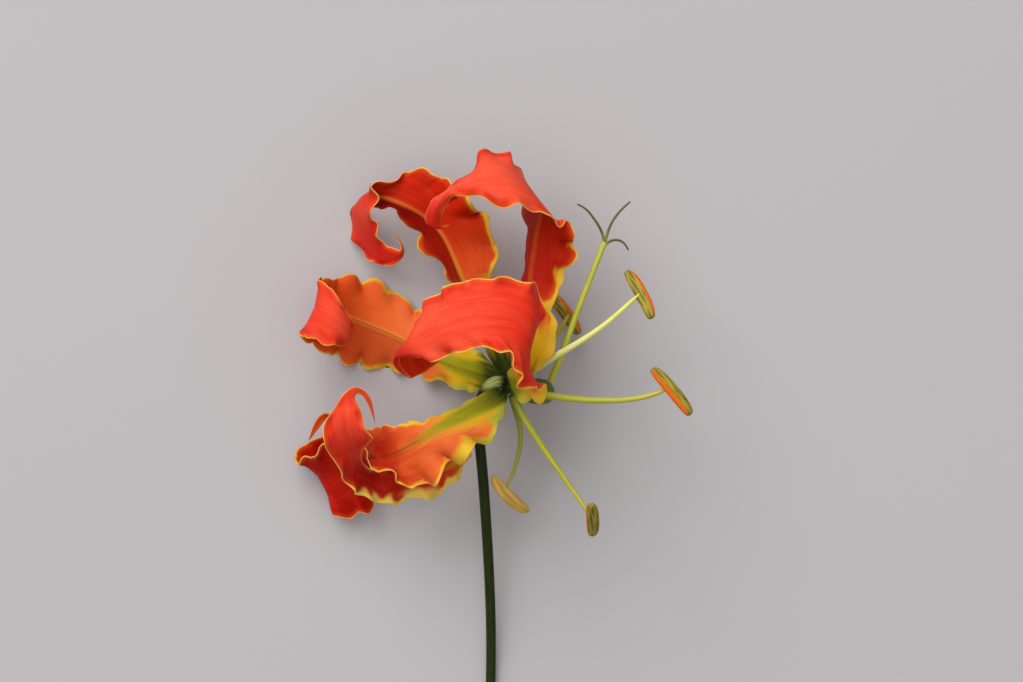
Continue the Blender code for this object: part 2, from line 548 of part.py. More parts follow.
def ovary_mesh():
    """Return the three-lobed ovary in front of the receptacle."""
    mesh = bpy.data.meshes.new("ovary")
    body = bmesh.new()
    bmesh.ops.create_uvsphere(body, u_segments=24, v_segments=11, radius=1.0)
    for vertex in body.verts:
        x, y, z = vertex.co
        turn = math.atan2(y, x)
        width = math.hypot(x, y) * OVARY_RADIUS * (0.93 + 0.11 * math.cos(3.0 * turn)) * (1.0 + 0.12 * z)
        forward = OVARY_START + OVARY_LENGTH * (z + 1.0) / 2.0
        place = OVARY_POINTING * forward + width * (math.cos(turn) * RING_UP + math.sin(turn) * RING_NEAR)
        vertex.co = to_table(place)
    return closed_mesh(body, mesh)


def make_pistil(collection, cutters):
    """Make the ovary, the style and its three arms as one piece."""
    parts = [ovary_mesh(), tube_mesh("style", STYLE_ROUTE, (STYLE_RADIUS * 1.3, STYLE_RADIUS), 16)]
    for number, route in enumerate(STIGMA_ROUTES):
        parts.append(tube_mesh("stigma_%d" % number, route, (STIGMA_RADIUS, STIGMA_RADIUS * 0.8), 8))
    return join_solids("pistil", parts, "pistil", collection, cutters)


def receptacle_mesh():
    """Return the flat knob that carries the tepals."""
    mesh = bpy.data.meshes.new("receptacle")
    body = bmesh.new()
    bmesh.ops.create_uvsphere(body, u_segments=16, v_segments=9, radius=1.0)
    for vertex in body.verts:
        x, y, z = vertex.co
        place = RECEPTACLE_RADIUS * (FACING * z * 0.72 + x * RING_UP + y * RING_NEAR)
        vertex.co = to_table(place)
    return closed_mesh(body, mesh)


def make_stalk(collection, cutters):
    """Make the stalk and the receptacle as one piece."""
    stalk = tube_mesh("stalk", STALK_ROUTE, STALK_RADII, 34)
    set_on_table(stalk)
    return join_solids("stalk", [stalk, receptacle_mesh()], "stalk", collection, cutters)


def main():
    clear_scene()
    flower = make_collection("flame_lily")
    cutters = make_collection("joined_pieces")
    for turn, (name, plan) in enumerate(TEPALS.items()):
        make_tepal(name, plan, float(turn + 1), flower)
    for name, plan in STAMENS.items():
        make_stamen(name, plan, flower)
    make_pistil(flower, cutters)
    make_stalk(flower, cutters)


main()
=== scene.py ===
"""Looks of the cut flame lily: fine tepals, stamens, pistil and stalk.

Every piece is worked out in millimetres in the bloom's own frame, where the
receptacle is the origin, +X is the way the bloom faces and +Z is up from the
table, and then moved into the frame's place. Finished pieces sit at the origin
with their place in their mesh.
"""

import math

import bpy
import numpy as np
from bpy.props import FloatProperty, FloatVectorProperty, IntProperty, PointerProperty
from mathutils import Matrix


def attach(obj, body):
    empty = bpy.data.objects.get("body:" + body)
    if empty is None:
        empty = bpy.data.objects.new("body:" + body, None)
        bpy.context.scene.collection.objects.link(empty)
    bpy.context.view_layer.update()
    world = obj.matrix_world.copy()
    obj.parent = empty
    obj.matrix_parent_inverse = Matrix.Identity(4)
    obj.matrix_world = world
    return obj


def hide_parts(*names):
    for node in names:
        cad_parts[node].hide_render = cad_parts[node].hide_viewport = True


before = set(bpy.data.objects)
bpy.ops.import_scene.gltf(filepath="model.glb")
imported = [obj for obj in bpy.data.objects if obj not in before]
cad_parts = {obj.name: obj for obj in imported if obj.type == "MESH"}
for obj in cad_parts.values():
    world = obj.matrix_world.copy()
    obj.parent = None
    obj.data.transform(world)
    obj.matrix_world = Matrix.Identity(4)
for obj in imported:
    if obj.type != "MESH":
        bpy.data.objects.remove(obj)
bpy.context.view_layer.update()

bl_info = {
    "name": "Flame Lily",
    "version": (1, 0, 0),
    "blender": (4, 5, 0),
    "location": "3D View > Sidebar > Flame Lily",
    "description": "Builds the tepals, stamens, pistil and stalk of a cut flame lily",
    "category": "Add Mesh",
}

MM = 0.001

# The kinds of socket that the shader groups have.
NUMBER = "NodeSocketFloat"
COLOUR = "NodeSocketColor"

# Where the table is below the receptacle, and the middle of the bloom's box.
TABLE_DEPTH = 20.0
MIDDLE = np.array((-3.45, -16.64, -TABLE_DEPTH))

# The way the flower faces, and the two directions round its axis.
FACING = np.array((0.886, -0.302, -0.352))
RING_UP = np.array((0.277, 0.955, -0.110))
RING_NEAR = np.array((0.364, 0.0, 0.931))
UP = np.array((0.0, 0.0, 1.0))

# Each tepal's ribs from claw to tip. A rib is the place of its first margin,
# its midrib and its second margin.
TEPAL_RIBS = {
    "tepal_upper_left": (
        ((0.6, 1.6, -0.2), (0.2, 1.8, -1.2), (-0.3, 1.4, -2.8)),
        ((2.0, 6.6, -2.0), (-1.0, 5.8, -6.2), (-3.6, 4.6, -12.0)),
        ((-1.0, 14.2, -1.0), (-4.4, 13.2, -6.0), (-6.8, 13.6, -11.0)),
        ((-3.2, 20.6, -3.0), (-8.8, 20.4, -6.0), (-10.6, 21.0, -11.0)),
        ((-1.6, 27.4, -3.0), (-11.4, 27.2, -7.0), (-16.8, 27.4, -11.0)),
        ((-4.0, 34.8, -3.0), (-13.4, 31.2, -7.0), (-19.6, 31.2, -11.0)),
        ((-10.0, 39.2, -4.0), (-17.2, 34.6, -7.0), (-21.2, 34.6, -11.0)),
        ((-14.4, 43.6, -6.0), (-20.6, 36.2, -7.0), (-23.0, 35.4, -10.0)),
        ((-20.0, 44.0, -8.0), (-23.4, 37.4, -7.5), (-24.2, 36.4, -10.0)),
        ((-24.8, 40.6, -4.0), (-27.0, 38.6, -9.0), (-27.4, 35.6, -13.0)),
        ((-25.8, 40.2, -3.0), (-30.2, 38.4, -11.0), (-32.4, 35.2, -18.0)),
        ((-27.4, 36.2, -5.0), (-30.4, 35.0, -12.0), (-33.0, 33.0, -20.0)),
        ((-26.8, 32.8, -7.0), (-28.8, 31.4, -12.5), (-31.2, 29.6, -19.0)),
        ((-25.6, 29.6, -9.0), (-27.6, 28.0, -12.0), (-29.6, 26.6, -15.5)),
        ((-23.8, 27.8, -9.5), (-25.2, 26.0, -10.5), (-26.8, 24.0, -12.0)),
        ((-22.0, 27.2, -9.0), (-22.2, 25.8, -9.5), (-22.2, 24.2, -10.5)),
        ((-21.2, 27.4, -8.0), (-20.8, 27.2, -8.5), (-20.4, 27.0, -9.0)),
        ((-22.4, 30.2, -7.0), (-22.3, 30.1, -7.0), (-22.2, 30.0, -7.0)),
    ),
    "tepal_upper_right": (
        ((0.9, 0.9, 1.7), (0.8, 1.5, 1.1), (0.7, 2.0, 0.4)),
        ((7.4, 3.4, 5.0), (3.0, 5.6, 4.0), (0.8, 6.8, 1.0)),
        ((10.6, 9.2, 4.5), (4.8, 11.6, 4.0), (2.0, 12.2, -2.0)),
        ((8.6, 15.4, 3.5), (4.6, 16.6, 2.5), (2.0, 17.2, -5.0)),
        ((10.4, 20.0, 1.0), (4.2, 21.2, 1.0), (3.0, 21.2, -6.0)),
        ((13.8, 26.0, 0.5), (5.2, 26.8, 0.5), (3.8, 26.8, -7.0)),
        ((13.6, 31.2, 2.5), (6.0, 32.0, 1.5), (3.4, 32.8, -8.0)),
        ((10.8, 32.0, 6.8), (7.4, 35.6, 4.0), (2.8, 39.2, -8.0)),
        ((7.0, 33.8, 10.2), (5.0, 38.4, 7.5), (2.0, 44.0, -5.0)),
        ((2.2, 36.6, 12.0), (1.4, 40.4, 9.5), (-0.4, 47.0, 0.0)),
        ((0.0, 34.0, 12.5), (-1.8, 41.0, 10.5), (-4.0, 48.0, 2.0)),
        ((-4.8, 37.8, 12.0), (-5.6, 41.0, 10.5), (-6.8, 44.2, 3.0)),
        ((-8.4, 37.6, 10.5), (-9.3, 39.4, 9.5), (-10.0, 40.4, 4.0)),
        ((-10.4, 38.1, 8.5), (-11.6, 38.8, 8.5), (-12.2, 39.5, 6.0)),
        ((-12.8, 36.0, 7.0), (-13.5, 37.0, 8.0), (-14.0, 37.8, 6.0)),
        ((-13.4, 33.4, 5.5), (-15.2, 33.8, 7.0), (-17.0, 34.7, 5.0)),
        ((-12.8, 31.4, 5.0), (-14.4, 30.8, 5.5), (-16.2, 31.4, 4.5)),
        ((-11.6, 32.2, 5.0), (-11.6, 32.1, 5.0), (-11.6, 32.0, 5.0)),
    ),
    "tepal_front": (
        ((0.3, -1.1, 1.8), (0.6, -0.3, 1.8), (0.9, 0.5, 1.9)),
        ((2.0, -3.2, 4.5), (0.8, -0.2, 5.2), (-0.6, 2.4, 4.5)),
        ((8.0, -2.4, 8.0), (3.4, 1.4, 10.5), (2.0, 6.8, 11.0)),
        ((7.2, 0.2, 13.0), (3.6, 4.0, 15.0), (4.4, 10.4, 13.5)),
        ((3.2, -1.0, 17.8), (4.6, 7.8, 18.5), (7.8, 16.6, 15.5)),
        ((1.2, 0.2, 20.5), (4.4, 11.6, 20.5), (6.0, 20.4, 17.5)),
        ((3.0, 3.0, 23.0), (0.8, 13.8, 21.0), (0.8, 21.8, 18.5)),
        ((-0.4, 7.2, 24.0), (-4.4, 14.2, 21.0), (-4.2, 21.4, 18.0)),
        ((-6.0, 7.8, 23.0), (-9.6, 13.6, 20.0), (-10.2, 21.0, 17.0)),
        ((-10.0, 6.4, 20.0), (-13.6, 12.6, 17.5), (-14.8, 18.2, 14.0)),
        ((-12.6, 5.6, 17.0), (-17.4, 10.0, 14.5), (-16.4, 16.6, 10.5)),
        ((-16.0, 4.8, 14.0), (-21.0, 8.0, 11.5), (-18.4, 10.8, 4.0)),
        ((-19.8, 6.8, 11.0), (-23.0, 5.6, 8.0), (-12.4, 5.2, 1.5)),
        ((-22.6, 5.6, 7.5), (-22.2, 3.2, 5.0), (-16.0, 3.2, 1.5)),
        ((-19.6, 1.8, 3.5), (-19.4, 1.7, 3.2), (-19.2, 1.6, 3.0)),
    ),
    "tepal_left": (
        ((-0.4, 1.0, -1.6), (-0.6, 0.3, -1.7), (-0.9, -0.4, -1.9)),
        ((-3.5, 5.2, -5.2), (-3.8, 2.2, -5.4), (-4.0, -1.0, -6.4)),
        ((-7.2, 8.0, -10.0), (-8.0, 3.2, -10.5), (-9.2, -1.6, -12.0)),
        ((-14.2, 12.2, -16.0), (-15.0, 6.0, -15.0), (-14.4, 0.8, -17.0)),
        ((-19.6, 16.4, -19.0), (-21.2, 9.2, -17.0), (-21.2, 3.4, -19.5)),
        ((-24.0, 20.4, -19.5), (-25.4, 11.1, -17.5), (-26.4, 2.8, -20.0)),
        ((-29.2, 22.0, -18.5), (-29.2, 12.6, -17.5), (-31.6, 4.0, -19.5)),
        ((-33.2, 22.4, -16.0), (-33.2, 14.0, -16.0), (-36.4, 6.2, -18.0)),
        ((-36.0, 21.4, -11.0), (-37.0, 15.4, -12.0), (-39.8, 7.8, -13.0)),
        ((-38.4, 22.0, -7.0), (-39.4, 16.0, -7.0), (-42.8, 10.4, -8.0)),
        ((-37.4, 21.4, -3.0), (-38.0, 15.2, -2.5), (-40.6, 9.6, -3.0)),
        ((-34.8, 19.0, -1.0), (-35.4, 13.8, -0.5), (-37.2, 8.4, -1.0)),
        ((-32.4, 15.4, -2.0), (-32.6, 11.6, -2.0), (-34.0, 7.6, -2.5)),
        ((-30.8, 12.2, -5.0), (-31.4, 10.0, -5.0), (-32.6, 8.2, -5.0)),
        ((-32.2, 10.4, -8.0), (-32.4, 9.8, -8.0), (-32.6, 9.2, -8.0)),
        ((-34.4, 10.4, -7.5), (-34.4, 10.2, -7.5), (-34.4, 10.0, -7.5)),
    ),
    "tepal_lower_near": (
        ((-0.8, -1.6, 1.5), (-0.4, -1.4, 2.1), (-0.1, -1.3, 2.6)),
        ((-2.4, 0.1, 2.9), (-1.2, -1.1, 3.2), (-0.1, -2.3, 3.6)),
        ((-4.6, -1.1, 3.2), (-2.6, -2.8, 3.9), (-0.2, -3.8, 5.0)),
        ((-8.4, -3.2, 3.2), (-6.0, -4.3, 4.4), (-1.4, -6.6, 6.0)),
        ((-13.0, -5.5, 2.5), (-10.6, -6.6, 4.5), (-3.0, -11.4, 5.5)),
        ((-17.2, -6.8, 2.0), (-15.0, -9.0, 4.0), (-8.2, -12.6, 6.5)),
        ((-21.2, -7.4, 1.0), (-19.2, -11.7, 3.0), (-13.6, -19.2, 4.5)),
        ((-24.4, -8.0, -1.0), (-22.8, -13.6, 1.5), (-19.4, -21.4, 2.2)),
        ((-27.2, -7.8, -3.5), (-25.6, -14.4, -0.5), (-24.0, -16.2, 3.5)),
        ((-29.2, -10.0, -10.0), (-27.2, -14.6, -2.5), (-27.8, -17.0, 2.0)),
        ((-28.8, -17.6, -15.0), (-29.0, -14.8, -7.5), (-27.8, -14.4, 0.0)),
        ((-25.6, -24.8, -16.0), (-31.6, -15.6, -11.5), (-28.4, -10.8, -3.0)),
        ((-30.4, -27.0, -15.0), (-34.6, -18.0, -13.0), (-37.0, -11.0, -7.0)),
        ((-34.4, -27.0, -15.5), (-37.6, -18.8, -14.0), (-39.8, -14.8, -9.5)),
        ((-35.4, -25.2, -18.5), (-39.2, -18.4, -17.0), (-44.2, -15.6, -13.5)),
        ((-34.8, -20.8, -20.4), (-38.0, -15.6, -19.7), (-43.2, -12.8, -17.5)),
        ((-34.0, -14.8, -18.0), (-36.0, -12.8, -17.5), (-39.2, -10.8, -16.5)),
        ((-33.8, -10.0, -13.0), (-34.8, -9.6, -13.0), (-36.0, -9.4, -13.0)),
        ((-34.6, -6.4, -8.5), (-35.4, -6.2, -8.5), (-36.0, -6.4, -8.5)),
        ((-37.2, -4.8, -6.5), (-37.0, -5.6, -6.5), (-36.6, -6.6, -6.5)),
        ((-39.2, -7.6, -6.0), (-38.8, -8.1, -6.0), (-38.2, -8.8, -6.0)),
        ((-40.1, -11.0, -6.0), (-40.1, -11.0, -6.0), (-40.0, -11.0, -6.0)),
    ),
    "tepal_lower_far": (
        ((-1.1, -0.7, -1.7), (-0.9, -1.3, -1.0), (-0.7, -1.8, -0.3)),
        ((-6.4, -2.6, -6.6), (-4.0, -4.4, -5.2), (-2.4, -6.0, -2.5)),
        ((-7.0, -12.4, -12.0), (-6.8, -10.2, -8.9), (-6.0, -8.8, -6.4)),
        ((-9.8, -19.6, -13.0), (-11.2, -14.4, -10.0), (-10.8, -10.8, -7.5)),
        ((-14.8, -23.0, -13.5), (-16.2, -16.8, -10.5), (-16.0, -12.8, -7.5)),
        ((-20.6, -23.4, -12.5), (-20.6, -19.2, -9.8), (-20.8, -15.4, -7.5)),
        ((-24.8, -24.6, -10.5), (-24.8, -20.0, -8.2), (-24.8, -16.4, -6.2)),
        ((-28.6, -22.6, -6.5), (-28.4, -18.8, -4.8), (-28.0, -16.8, -3.2)),
        ((-31.8, -21.2, -3.0), (-30.6, -16.2, -0.5), (-29.6, -14.8, 0.6)),
        ((-33.6, -16.6, 2.0), (-31.2, -12.8, 4.0), (-28.8, -12.0, 5.0)),
        ((-36.2, -12.6, 5.5), (-31.6, -10.0, 7.0), (-26.2, -10.8, 7.0)),
        ((-37.4, -8.8, 7.5), (-32.2, -7.0, 8.5), (-28.8, -7.6, 8.5)),
        ((-34.8, -4.8, 8.0), (-32.3, -4.2, 8.5), (-29.2, -4.4, 8.5)),
        ((-33.0, -2.0, 7.5), (-31.8, -1.8, 7.5), (-30.6, -2.6, 7.5)),
        ((-31.2, 0.2, 6.5), (-30.6, -0.4, 6.5), (-30.2, -1.2, 6.5)),
        ((-28.4, -0.4, 6.0), (-28.7, -1.0, 6.0), (-29.0, -1.6, 6.0)),
        ((-26.8, -3.2, 5.5), (-27.2, -3.4, 5.5), (-27.6, -3.8, 5.5)),
        ((-26.4, -7.6, 5.0), (-26.4, -7.6, 5.0), (-26.4, -7.6, 5.0)),
    ),
}

# How each tepal's margins and midrib stand. The waves are their length and
# where the first and the second margin's waves start, and the frills are the
# waves' heights at each rib, for both margins. The scallops fade out before
# this share of the length, and lie this far apart. The midrib is this high.
TEPAL_MARGINS = {
    "tepal_upper_left": {
        "waves": (6.5, 0, 0.3),
        "frills": (
            (0.0, 0.3, 0.8, 1.2, 1.6, 1.7, 1.3, 1.0, 0.9, 0.8, 0.9, 0.8, 0.7, 0.6, 0.4, 0.2, 0.0, 0.0),
            (0.0, 0.2, 0.6, 0.9, 1.0, 0.9, 0.8, 0.6, 0.6, 0.8, 0.9, 0.8, 0.7, 0.6, 0.4, 0.2, 0.0, 0.0),
        ),
        "scallop": (0.97, 3.8),
        "midrib": 0.24,
    },
    "tepal_upper_right": {
        "waves": (6.5, 0.2, 0.5),
        "frills": (
            (0.0, 0.2, 0.3, 0.5, 0.9, 1.0, 1.0, 0.9, 0.8, 0.7, 0.6, 0.5, 0.4, 0.4, 0.3, 0.2, 0.0, 0.0),
            (0.0, 0.2, 0.4, 0.4, 0.3, 0.3, 0.3, 0.4, 0.6, 0.9, 0.9, 0.9, 0.6, 0.4, 0.3, 0.2, 0.0, 0.0),
        ),
        "scallop": (0.62, 4.0),
        "midrib": 0.24,
    },
    "tepal_front": {
        "waves": (6.0, 0.1, 0.4),
        "frills": (
            (0.0, 0.6, 1.1, 1.2, 0.8, 0.6, 0.7, 0.9, 1.0, 1.0, 0.7, 0.4, 0.3, 0.1, 0.0),
            (0.0, 0.2, 0.4, 0.6, 0.8, 0.9, 0.8, 0.8, 0.8, 0.7, 0.5, 0.4, 0.3, 0.1, 0.0),
        ),
        "scallop": (0.92, 5.8),
        "midrib": 0.16,
    },
    "tepal_left": {
        "waves": (6.0, 0.3, 0.1),
        "frills": (
            (0.0, 0.2, 0.4, 0.6, 0.8, 0.9, 0.9, 0.8, 0.5, 0.4, 0.3, 0.4, 0.4, 0.2, 0.0, 0.0),
            (0.0, 0.3, 0.5, 0.7, 0.9, 1.0, 0.9, 0.8, 0.6, 0.4, 0.3, 0.4, 0.4, 0.2, 0.0, 0.0),
        ),
        "scallop": (0.92, 4.2),
        "midrib": 0.30,
    },
    "tepal_lower_near": {
        "waves": (6.5, 0.6, 0.2),
        "frills": (
            (
                0.0, 0.0, 0.1, 0.1, 0.1, 0.2, 0.3, 0.4, 0.4, 0.5, 0.6, 1.0, 1.0, 0.8, 0.6, 0.4, 0.2, 0.1, 0.0,
                0.0, 0.0, 0.0,
            ),
            (
                0.0, 0.0, 0.5, 1.1, 1.9, 2.3, 2.3, 1.7, 0.7, 0.1, 0.1, 0.2, 0.4, 0.5, 0.5, 0.3, 0.1, 0.0, 0.0,
                0.0, 0.0, 0.0,
            ),
        ),
        "scallop": (0.97, 3.6),
        "midrib": -0.30,
    },
    "tepal_lower_far": {
        "waves": (6.5, 0.2, 0.7),
        "frills": (
            (0.0, 0.3, 0.7, 1.0, 1.0, 1.0, 0.9, 0.7, 0.6, 0.5, 0.4, 0.4, 0.3, 0.2, 0.1, 0.0, 0.0, 0.0),
            (0.0, 0.1, 0.2, 0.2, 0.2, 0.2, 0.1, 0.1, 0.1, 0.2, 0.4, 0.4, 0.3, 0.2, 0.1, 0.0, 0.0, 0.0),
        ),
        "scallop": (0.50, 4.0),
        "midrib": 0.18,
    },
}

# How sharply a tepal folds along its midrib, from 0 for a smooth bow to 1, and
# how deep a groove its inner face has there.
KEEL = 0.5
GROOVE_DEPTH = 0.08

# A wave also leans along the tepal and across it, by these shares of its height.
WAVE_ALONG = 0.36
WAVE_ACROSS = 0.5
CRIMP_LENGTH = 2.3
CRIMP_HEIGHT = 0.03

# At this pitch, scallops cut this far into the margin and lift it this high.
SCALLOP_CUT = 0.42
SCALLOP_LIFT = 0.30
SCALLOP_PITCH = 3.4

# How each tepal is painted, in the order of the tables above. Where a value is
# a share, it is of the length from the claw, and margins are in millimetres.
TEPAL_PAINT = {
    # How far the claw's green and yellow reach, how fast the yellow falls back
    # beside the midrib, and where the painted shade, dark green at the very base, ends.
    "Green Reach": (0.09, 0.03, 0.07, 0.12, 0.14, 0.06),
    "Yellow Reach": (0.17, 0.18, 0.22, 0.25, 0.31, 0.22),
    "Flank": (0.010, 0.010, 0.020, 0.010, 0.022, 0.005),
    "Base Shade": (0.12, 0.06, 0.08, 0.13, 0.15, 0.12),
    # How wide the yellow margin is at first and further out, where it narrows,
    # how much of it each side has, and how bright the thin line at the edge is.
    "Wide Margin": (1.7, 1.6, 2.2, 1.6, 2.3, 2.7),
    "Narrow Margin": (0.22, 0.26, 0.62, 0.30, 0.45, 0.20),
    "Reach Start": (0.22, 0.22, 0.16, 0.30, 0.24, 0.36),
    "Reach End": (0.36, 0.36, 0.26, 0.52, 0.34, 0.54),
    "First Share": (0.90, 1.00, 1.00, 0.60, 0.35, 1.00),
    "Second Share": (0.50, 0.20, 0.70, 0.80, 1.00, 0.06),
    "Edge Line": (0.8, 0.5, 0.9, 0.5, 0.8, 0.25),
    # Where the outer face turns from orange to red, how bright its midrib line is,
    # and how dark the painted shade is in its crease and over its two halves.
    "Turn Start": (0.14, 0.10, 0.30, 0.42, 0.40, 0.10),
    "Turn End": (0.34, 0.24, 0.80, 0.80, 0.60, 0.30),
    "Midrib Line": (0.80, 0.45, 0.10, 0.60, 0.0, 0.0),
    "Crease Shade": (0.0, 0.0, 0.0, 0.45, 0.65, 0.0),
    "First Half Shade": (0.12, 0.60, 0.0, 0.0, 0.0, 0.42),
    "Second Half Shade": (0.95, 0.50, 0.0, 0.20, 0.10, 0.44),
    # Where the inner face gets pale, partly as a painted sheen, and where its tip
    # gets dark, and how deep the painted shade before the pale part is.
    "Pale Sheen Start": (0.52, 0.25, 0.36, 0.50, 0.90, 0.48),
    "Tip Start": (0.64, 0.78, 0.72, 0.86, 0.80, 0.82),
    "Deep Shade": (0.50, 0.65, 0.15, 0.15, 0.9, 1.0),
}

# The tepal whose margins are painted paler than the rest, as painted light on its lower frill.
PAINTED_LIGHT_MARGINS = {"tepal_lower_far": (0.98, 0.70, 0.12)}

# What the tepals' paint reads at each place, and which settings colour it.
PAINT_READINGS = ("Side", "Along", "Across", "From Margin", "From Midrib", "Streaks", "Veins", "Blotches")
PAINT_SETTINGS = {
    "Inner Red": "inner_red",
    "Outer Red": "outer_red",
    "Outer Orange": "outer_orange",
    "Yellow": "yellow",
    "Green": "claw_green",
}

# The other colours of the tepals.
# Painted sheen: this pale coral is partly the inner face's own lighter red and partly painted light.
CORAL_SHEEN = (0.94, 0.125, 0.058)
SCARLET = (0.82, 0.045, 0.018)
CRIMSON = (0.52, 0.020, 0.014)
# Painted shade: the darker red along the frilled margins.
RIM_SHADE_RED = (0.58, 0.010, 0.005)
ORANGE_RED = (0.76, 0.085, 0.010)
APRICOT = (0.88, 0.25, 0.065)
MIDRIB_ORANGE = (0.86, 0.36, 0.055)
# Painted shade: deep red where the tepals lie in shade.
DEEP_SHADE_RED = (0.40, 0.004, 0.001)
# Painted shade over the halves of the outer face that turn from the light.
HALF_SHADE_RED = (0.30, 0.007, 0.002)
# Painted shade in the midrib's crease.
CREASE_SHADE_BROWN = (0.14, 0.022, 0.006)
VEIN_RED = (0.42, 0.012, 0.006)
FLAME_ORANGE = (0.86, 0.20, 0.020)
CLAW_GOLD = (0.72, 0.43, 0.010)
CLAW_LIME = (0.48, 0.44, 0.015)
MARGIN_LIME = (0.50, 0.49, 0.05)
EDGE_PEACH = (0.93, 0.38, 0.11)
# Painted shade: the dark green at the very base, where the claws meet in shade.
BASE_SHADE_GREEN = (0.022, 0.044, 0.006)

# The green stems' colours at the base, in the middle, at the end and in their
# dark lines, and their roughness.
STEM_PAINT = {
    "filament": ((0.26, 0.31, 0.02), (0.44, 0.43, 0.022), (0.55, 0.48, 0.055), (0.28, 0.29, 0.018), 0.42),
    "filament_pale": ((0.50, 0.54, 0.09), (0.78, 0.78, 0.26), (0.74, 0.73, 0.15), (0.60, 0.61, 0.12), 0.38),
    "filament_dull": ((0.24, 0.28, 0.03), (0.36, 0.36, 0.04), (0.36, 0.33, 0.04), (0.24, 0.25, 0.03), 0.45),
    "ovary": ((0.05, 0.09, 0.016), (0.085, 0.14, 0.022), (0.11, 0.15, 0.03), (0.035, 0.065, 0.012), 0.34),
    "style": ((0.46, 0.50, 0.03), (0.58, 0.58, 0.04), (0.50, 0.52, 0.05), (0.38, 0.40, 0.03), 0.40),
    "stigma": ((0.22, 0.25, 0.035), (0.105, 0.12, 0.022), (0.08, 0.09, 0.016), (0.07, 0.075, 0.016), 0.55),
}

# The other pieces' colours: pairs that noise mixes, stains over them, and the
# stalk's lines.
POD_OLIVES = ((0.09, 0.072, 0.010), (0.44, 0.36, 0.040))
POD_STAIN = (0.33, 0.17, 0.02)
POD_DUSTS = ((0.50, 0.045, 0.003), (0.92, 0.26, 0.012))
BARE_OCHRES = ((0.46, 0.27, 0.045), (0.78, 0.50, 0.115))
BARE_STAIN = (0.62, 0.22, 0.03)
POLLEN_ORANGES = ((0.52, 0.040, 0.002), (0.92, 0.27, 0.010))
STALK_LINES = (0.024, 0.036, 0.004)
# Painted highlight: the nub's pale greens stand partly for light on its glossy bend.
NUB_HIGHLIGHT_GREENS = ((0.22, 0.30, 0.05), (0.58, 0.66, 0.24))
TABLE_GREYS = ((0.465, 0.447, 0.457), (0.485, 0.467, 0.477))

# How many faces each kind of piece has along it and round it.
FILAMENT_FACES = (90, 20)
ANTHER_FACES = (72, 44)
OVARY_FACES = (60, 72)
STYLE_FACES = (110, 20)
STIGMA_FACES = (60, 14)
STALK_FACES = (260, 28)
RECEPTACLE_FACES = (30, 48)

# Each filament's angle round the flower, its route and its radii at base and
# end, then the anther's middle, the way it points, how much it bends, and the
# side its pollen shows on, as an angle round it.
STAMENS = {
    "right": {
        "angle": 100,
        "route": ((4.8, -1.5, 3.4), (9.0, -2.0, 4.7), (15.0, -2.8, 5.6), (23.0, -2.9, 6.6),
                  (28.0, -2.0, 7.3), (31.2, -0.8, 8.0)),
        "radii": (0.85, 0.42),
        "anther": ((32.5, -0.9, 9.9), (7.8, -9.4, 1.0), 0.3),
        "pollen": 125,
    },
    "upper_right": {
        "angle": 40,
        "route": ((4.8, 3.0, 2.0), (9.0, 5.8, 3.6), (13.5, 8.3, 4.6), (18.6, 11.6, 5.6),
                  (22.5, 15.0, 6.6), (26.0, 18.9, 8.0)),
        "radii": (0.8, 0.4),
        "anther": ((26.3, 18.3, 6.1), (4.6, -8.9, 5.2), 0.4),
        "pollen": 8,
    },
    "far_right": {
        "angle": 340,
        "route": ((4.4, 3.9, -5.0), (8.0, 7.6, -10.0), (10.2, 10.6, -12.6), (11.9, 14.6, -13.6)),
        "radii": (0.7, 0.4),
        "anther": ((11.7, 14.5, -15.8), (4.6, -6.6, 6.0), 0.3),
        "pollen": 8,
    },
    "lower_left": {
        "angle": 222,
        "route": ((1.8, -5.8, -3.4), (2.6, -8.8, -4.2), (2.6, -11.4, -5.0), (2.0, -14.8, -6.0),
                  (0.8, -18.2, -6.2), (0.0, -20.4, -5.7)),
        "radii": (0.6, 0.32),
        "anther": ((0.3, -22.1, -8.2), (7.2, -7.4, -6.9), -0.6),
        "pollen": 330,
    },
    "lower_right": {
        "angle": 170,
        "route": ((2.8, -5.8, 1.4), (6.4, -11.4, 2.6), (10.4, -17.2, 3.1), (13.4, -21.4, 3.0),
                  (16.3, -25.0, 2.6)),
        "radii": (0.75, 0.4),
        "anther": ((16.8, -26.6, 3.8), (0.4, -6.0, -9.4), 0.2),
        "pollen": 165,
    },
    "far": {
        "angle": 280,
        "route": ((1.6, 0.8, -6.5), (3.2, 3.2, -11.0), (4.6, 6.4, -15.0), (5.0, 8.6, -16.9)),
        "radii": (0.7, 0.4),
        "anther": ((5.4, 9.4, -19.1), (1.8, 11.0, 0.0), 0.3),
        "pollen": 90,
    },
}
FILAMENT_GREENS = {"upper_right": "filament_pale", "lower_left": "filament_dull", "far": "filament_dull"}
FILAMENT_RING_FORWARD = 1.6
FILAMENT_RING_RADIUS = 1.9
ANTHER_SIZE = np.array((12.4, 2.8, 2.2))
ANTHER_FULLNESS = 0.965

# The anther seen from its smooth back shows no pollen.
BARE_ANTHER = "lower_left"
POLLEN_SEED = 3
SQUARE_CM_IN_SQUARE_M = 10000.0

# The stalk from the receptacle to its cut end on the table. Its pale nub, partly
# a painted highlight, comes and goes over these two stretches, in millimetres along it.
STALK_ROUTE = (
    (-0.6, 0.4, 0.3), (-1.9, 1.0, 1.2), (-3.2, 0.7, 1.6), (-4.6, -0.7, 0.8), (-5.7, -2.9, -0.9),
    (-6.2, -6.0, -2.8), (-5.9, -10.0, -4.6), (-5.2, -16.0, -6.4), (-4.2, -30.8, -11.0),
    (-3.6, -42.8, -15.0), (-3.4, -52.8, -17.8), (-3.6, -62.8, -19.22), (-4.0, -80.8, -19.27),
)
STALK_RADII = (1.25, 0.95)
NUB_START = (1.0, 2.2)
NUB_END = (3.8, 5.6)
RECEPTACLE_RADIUS = 1.75
RECEPTACLE_FLATNESS = 0.72

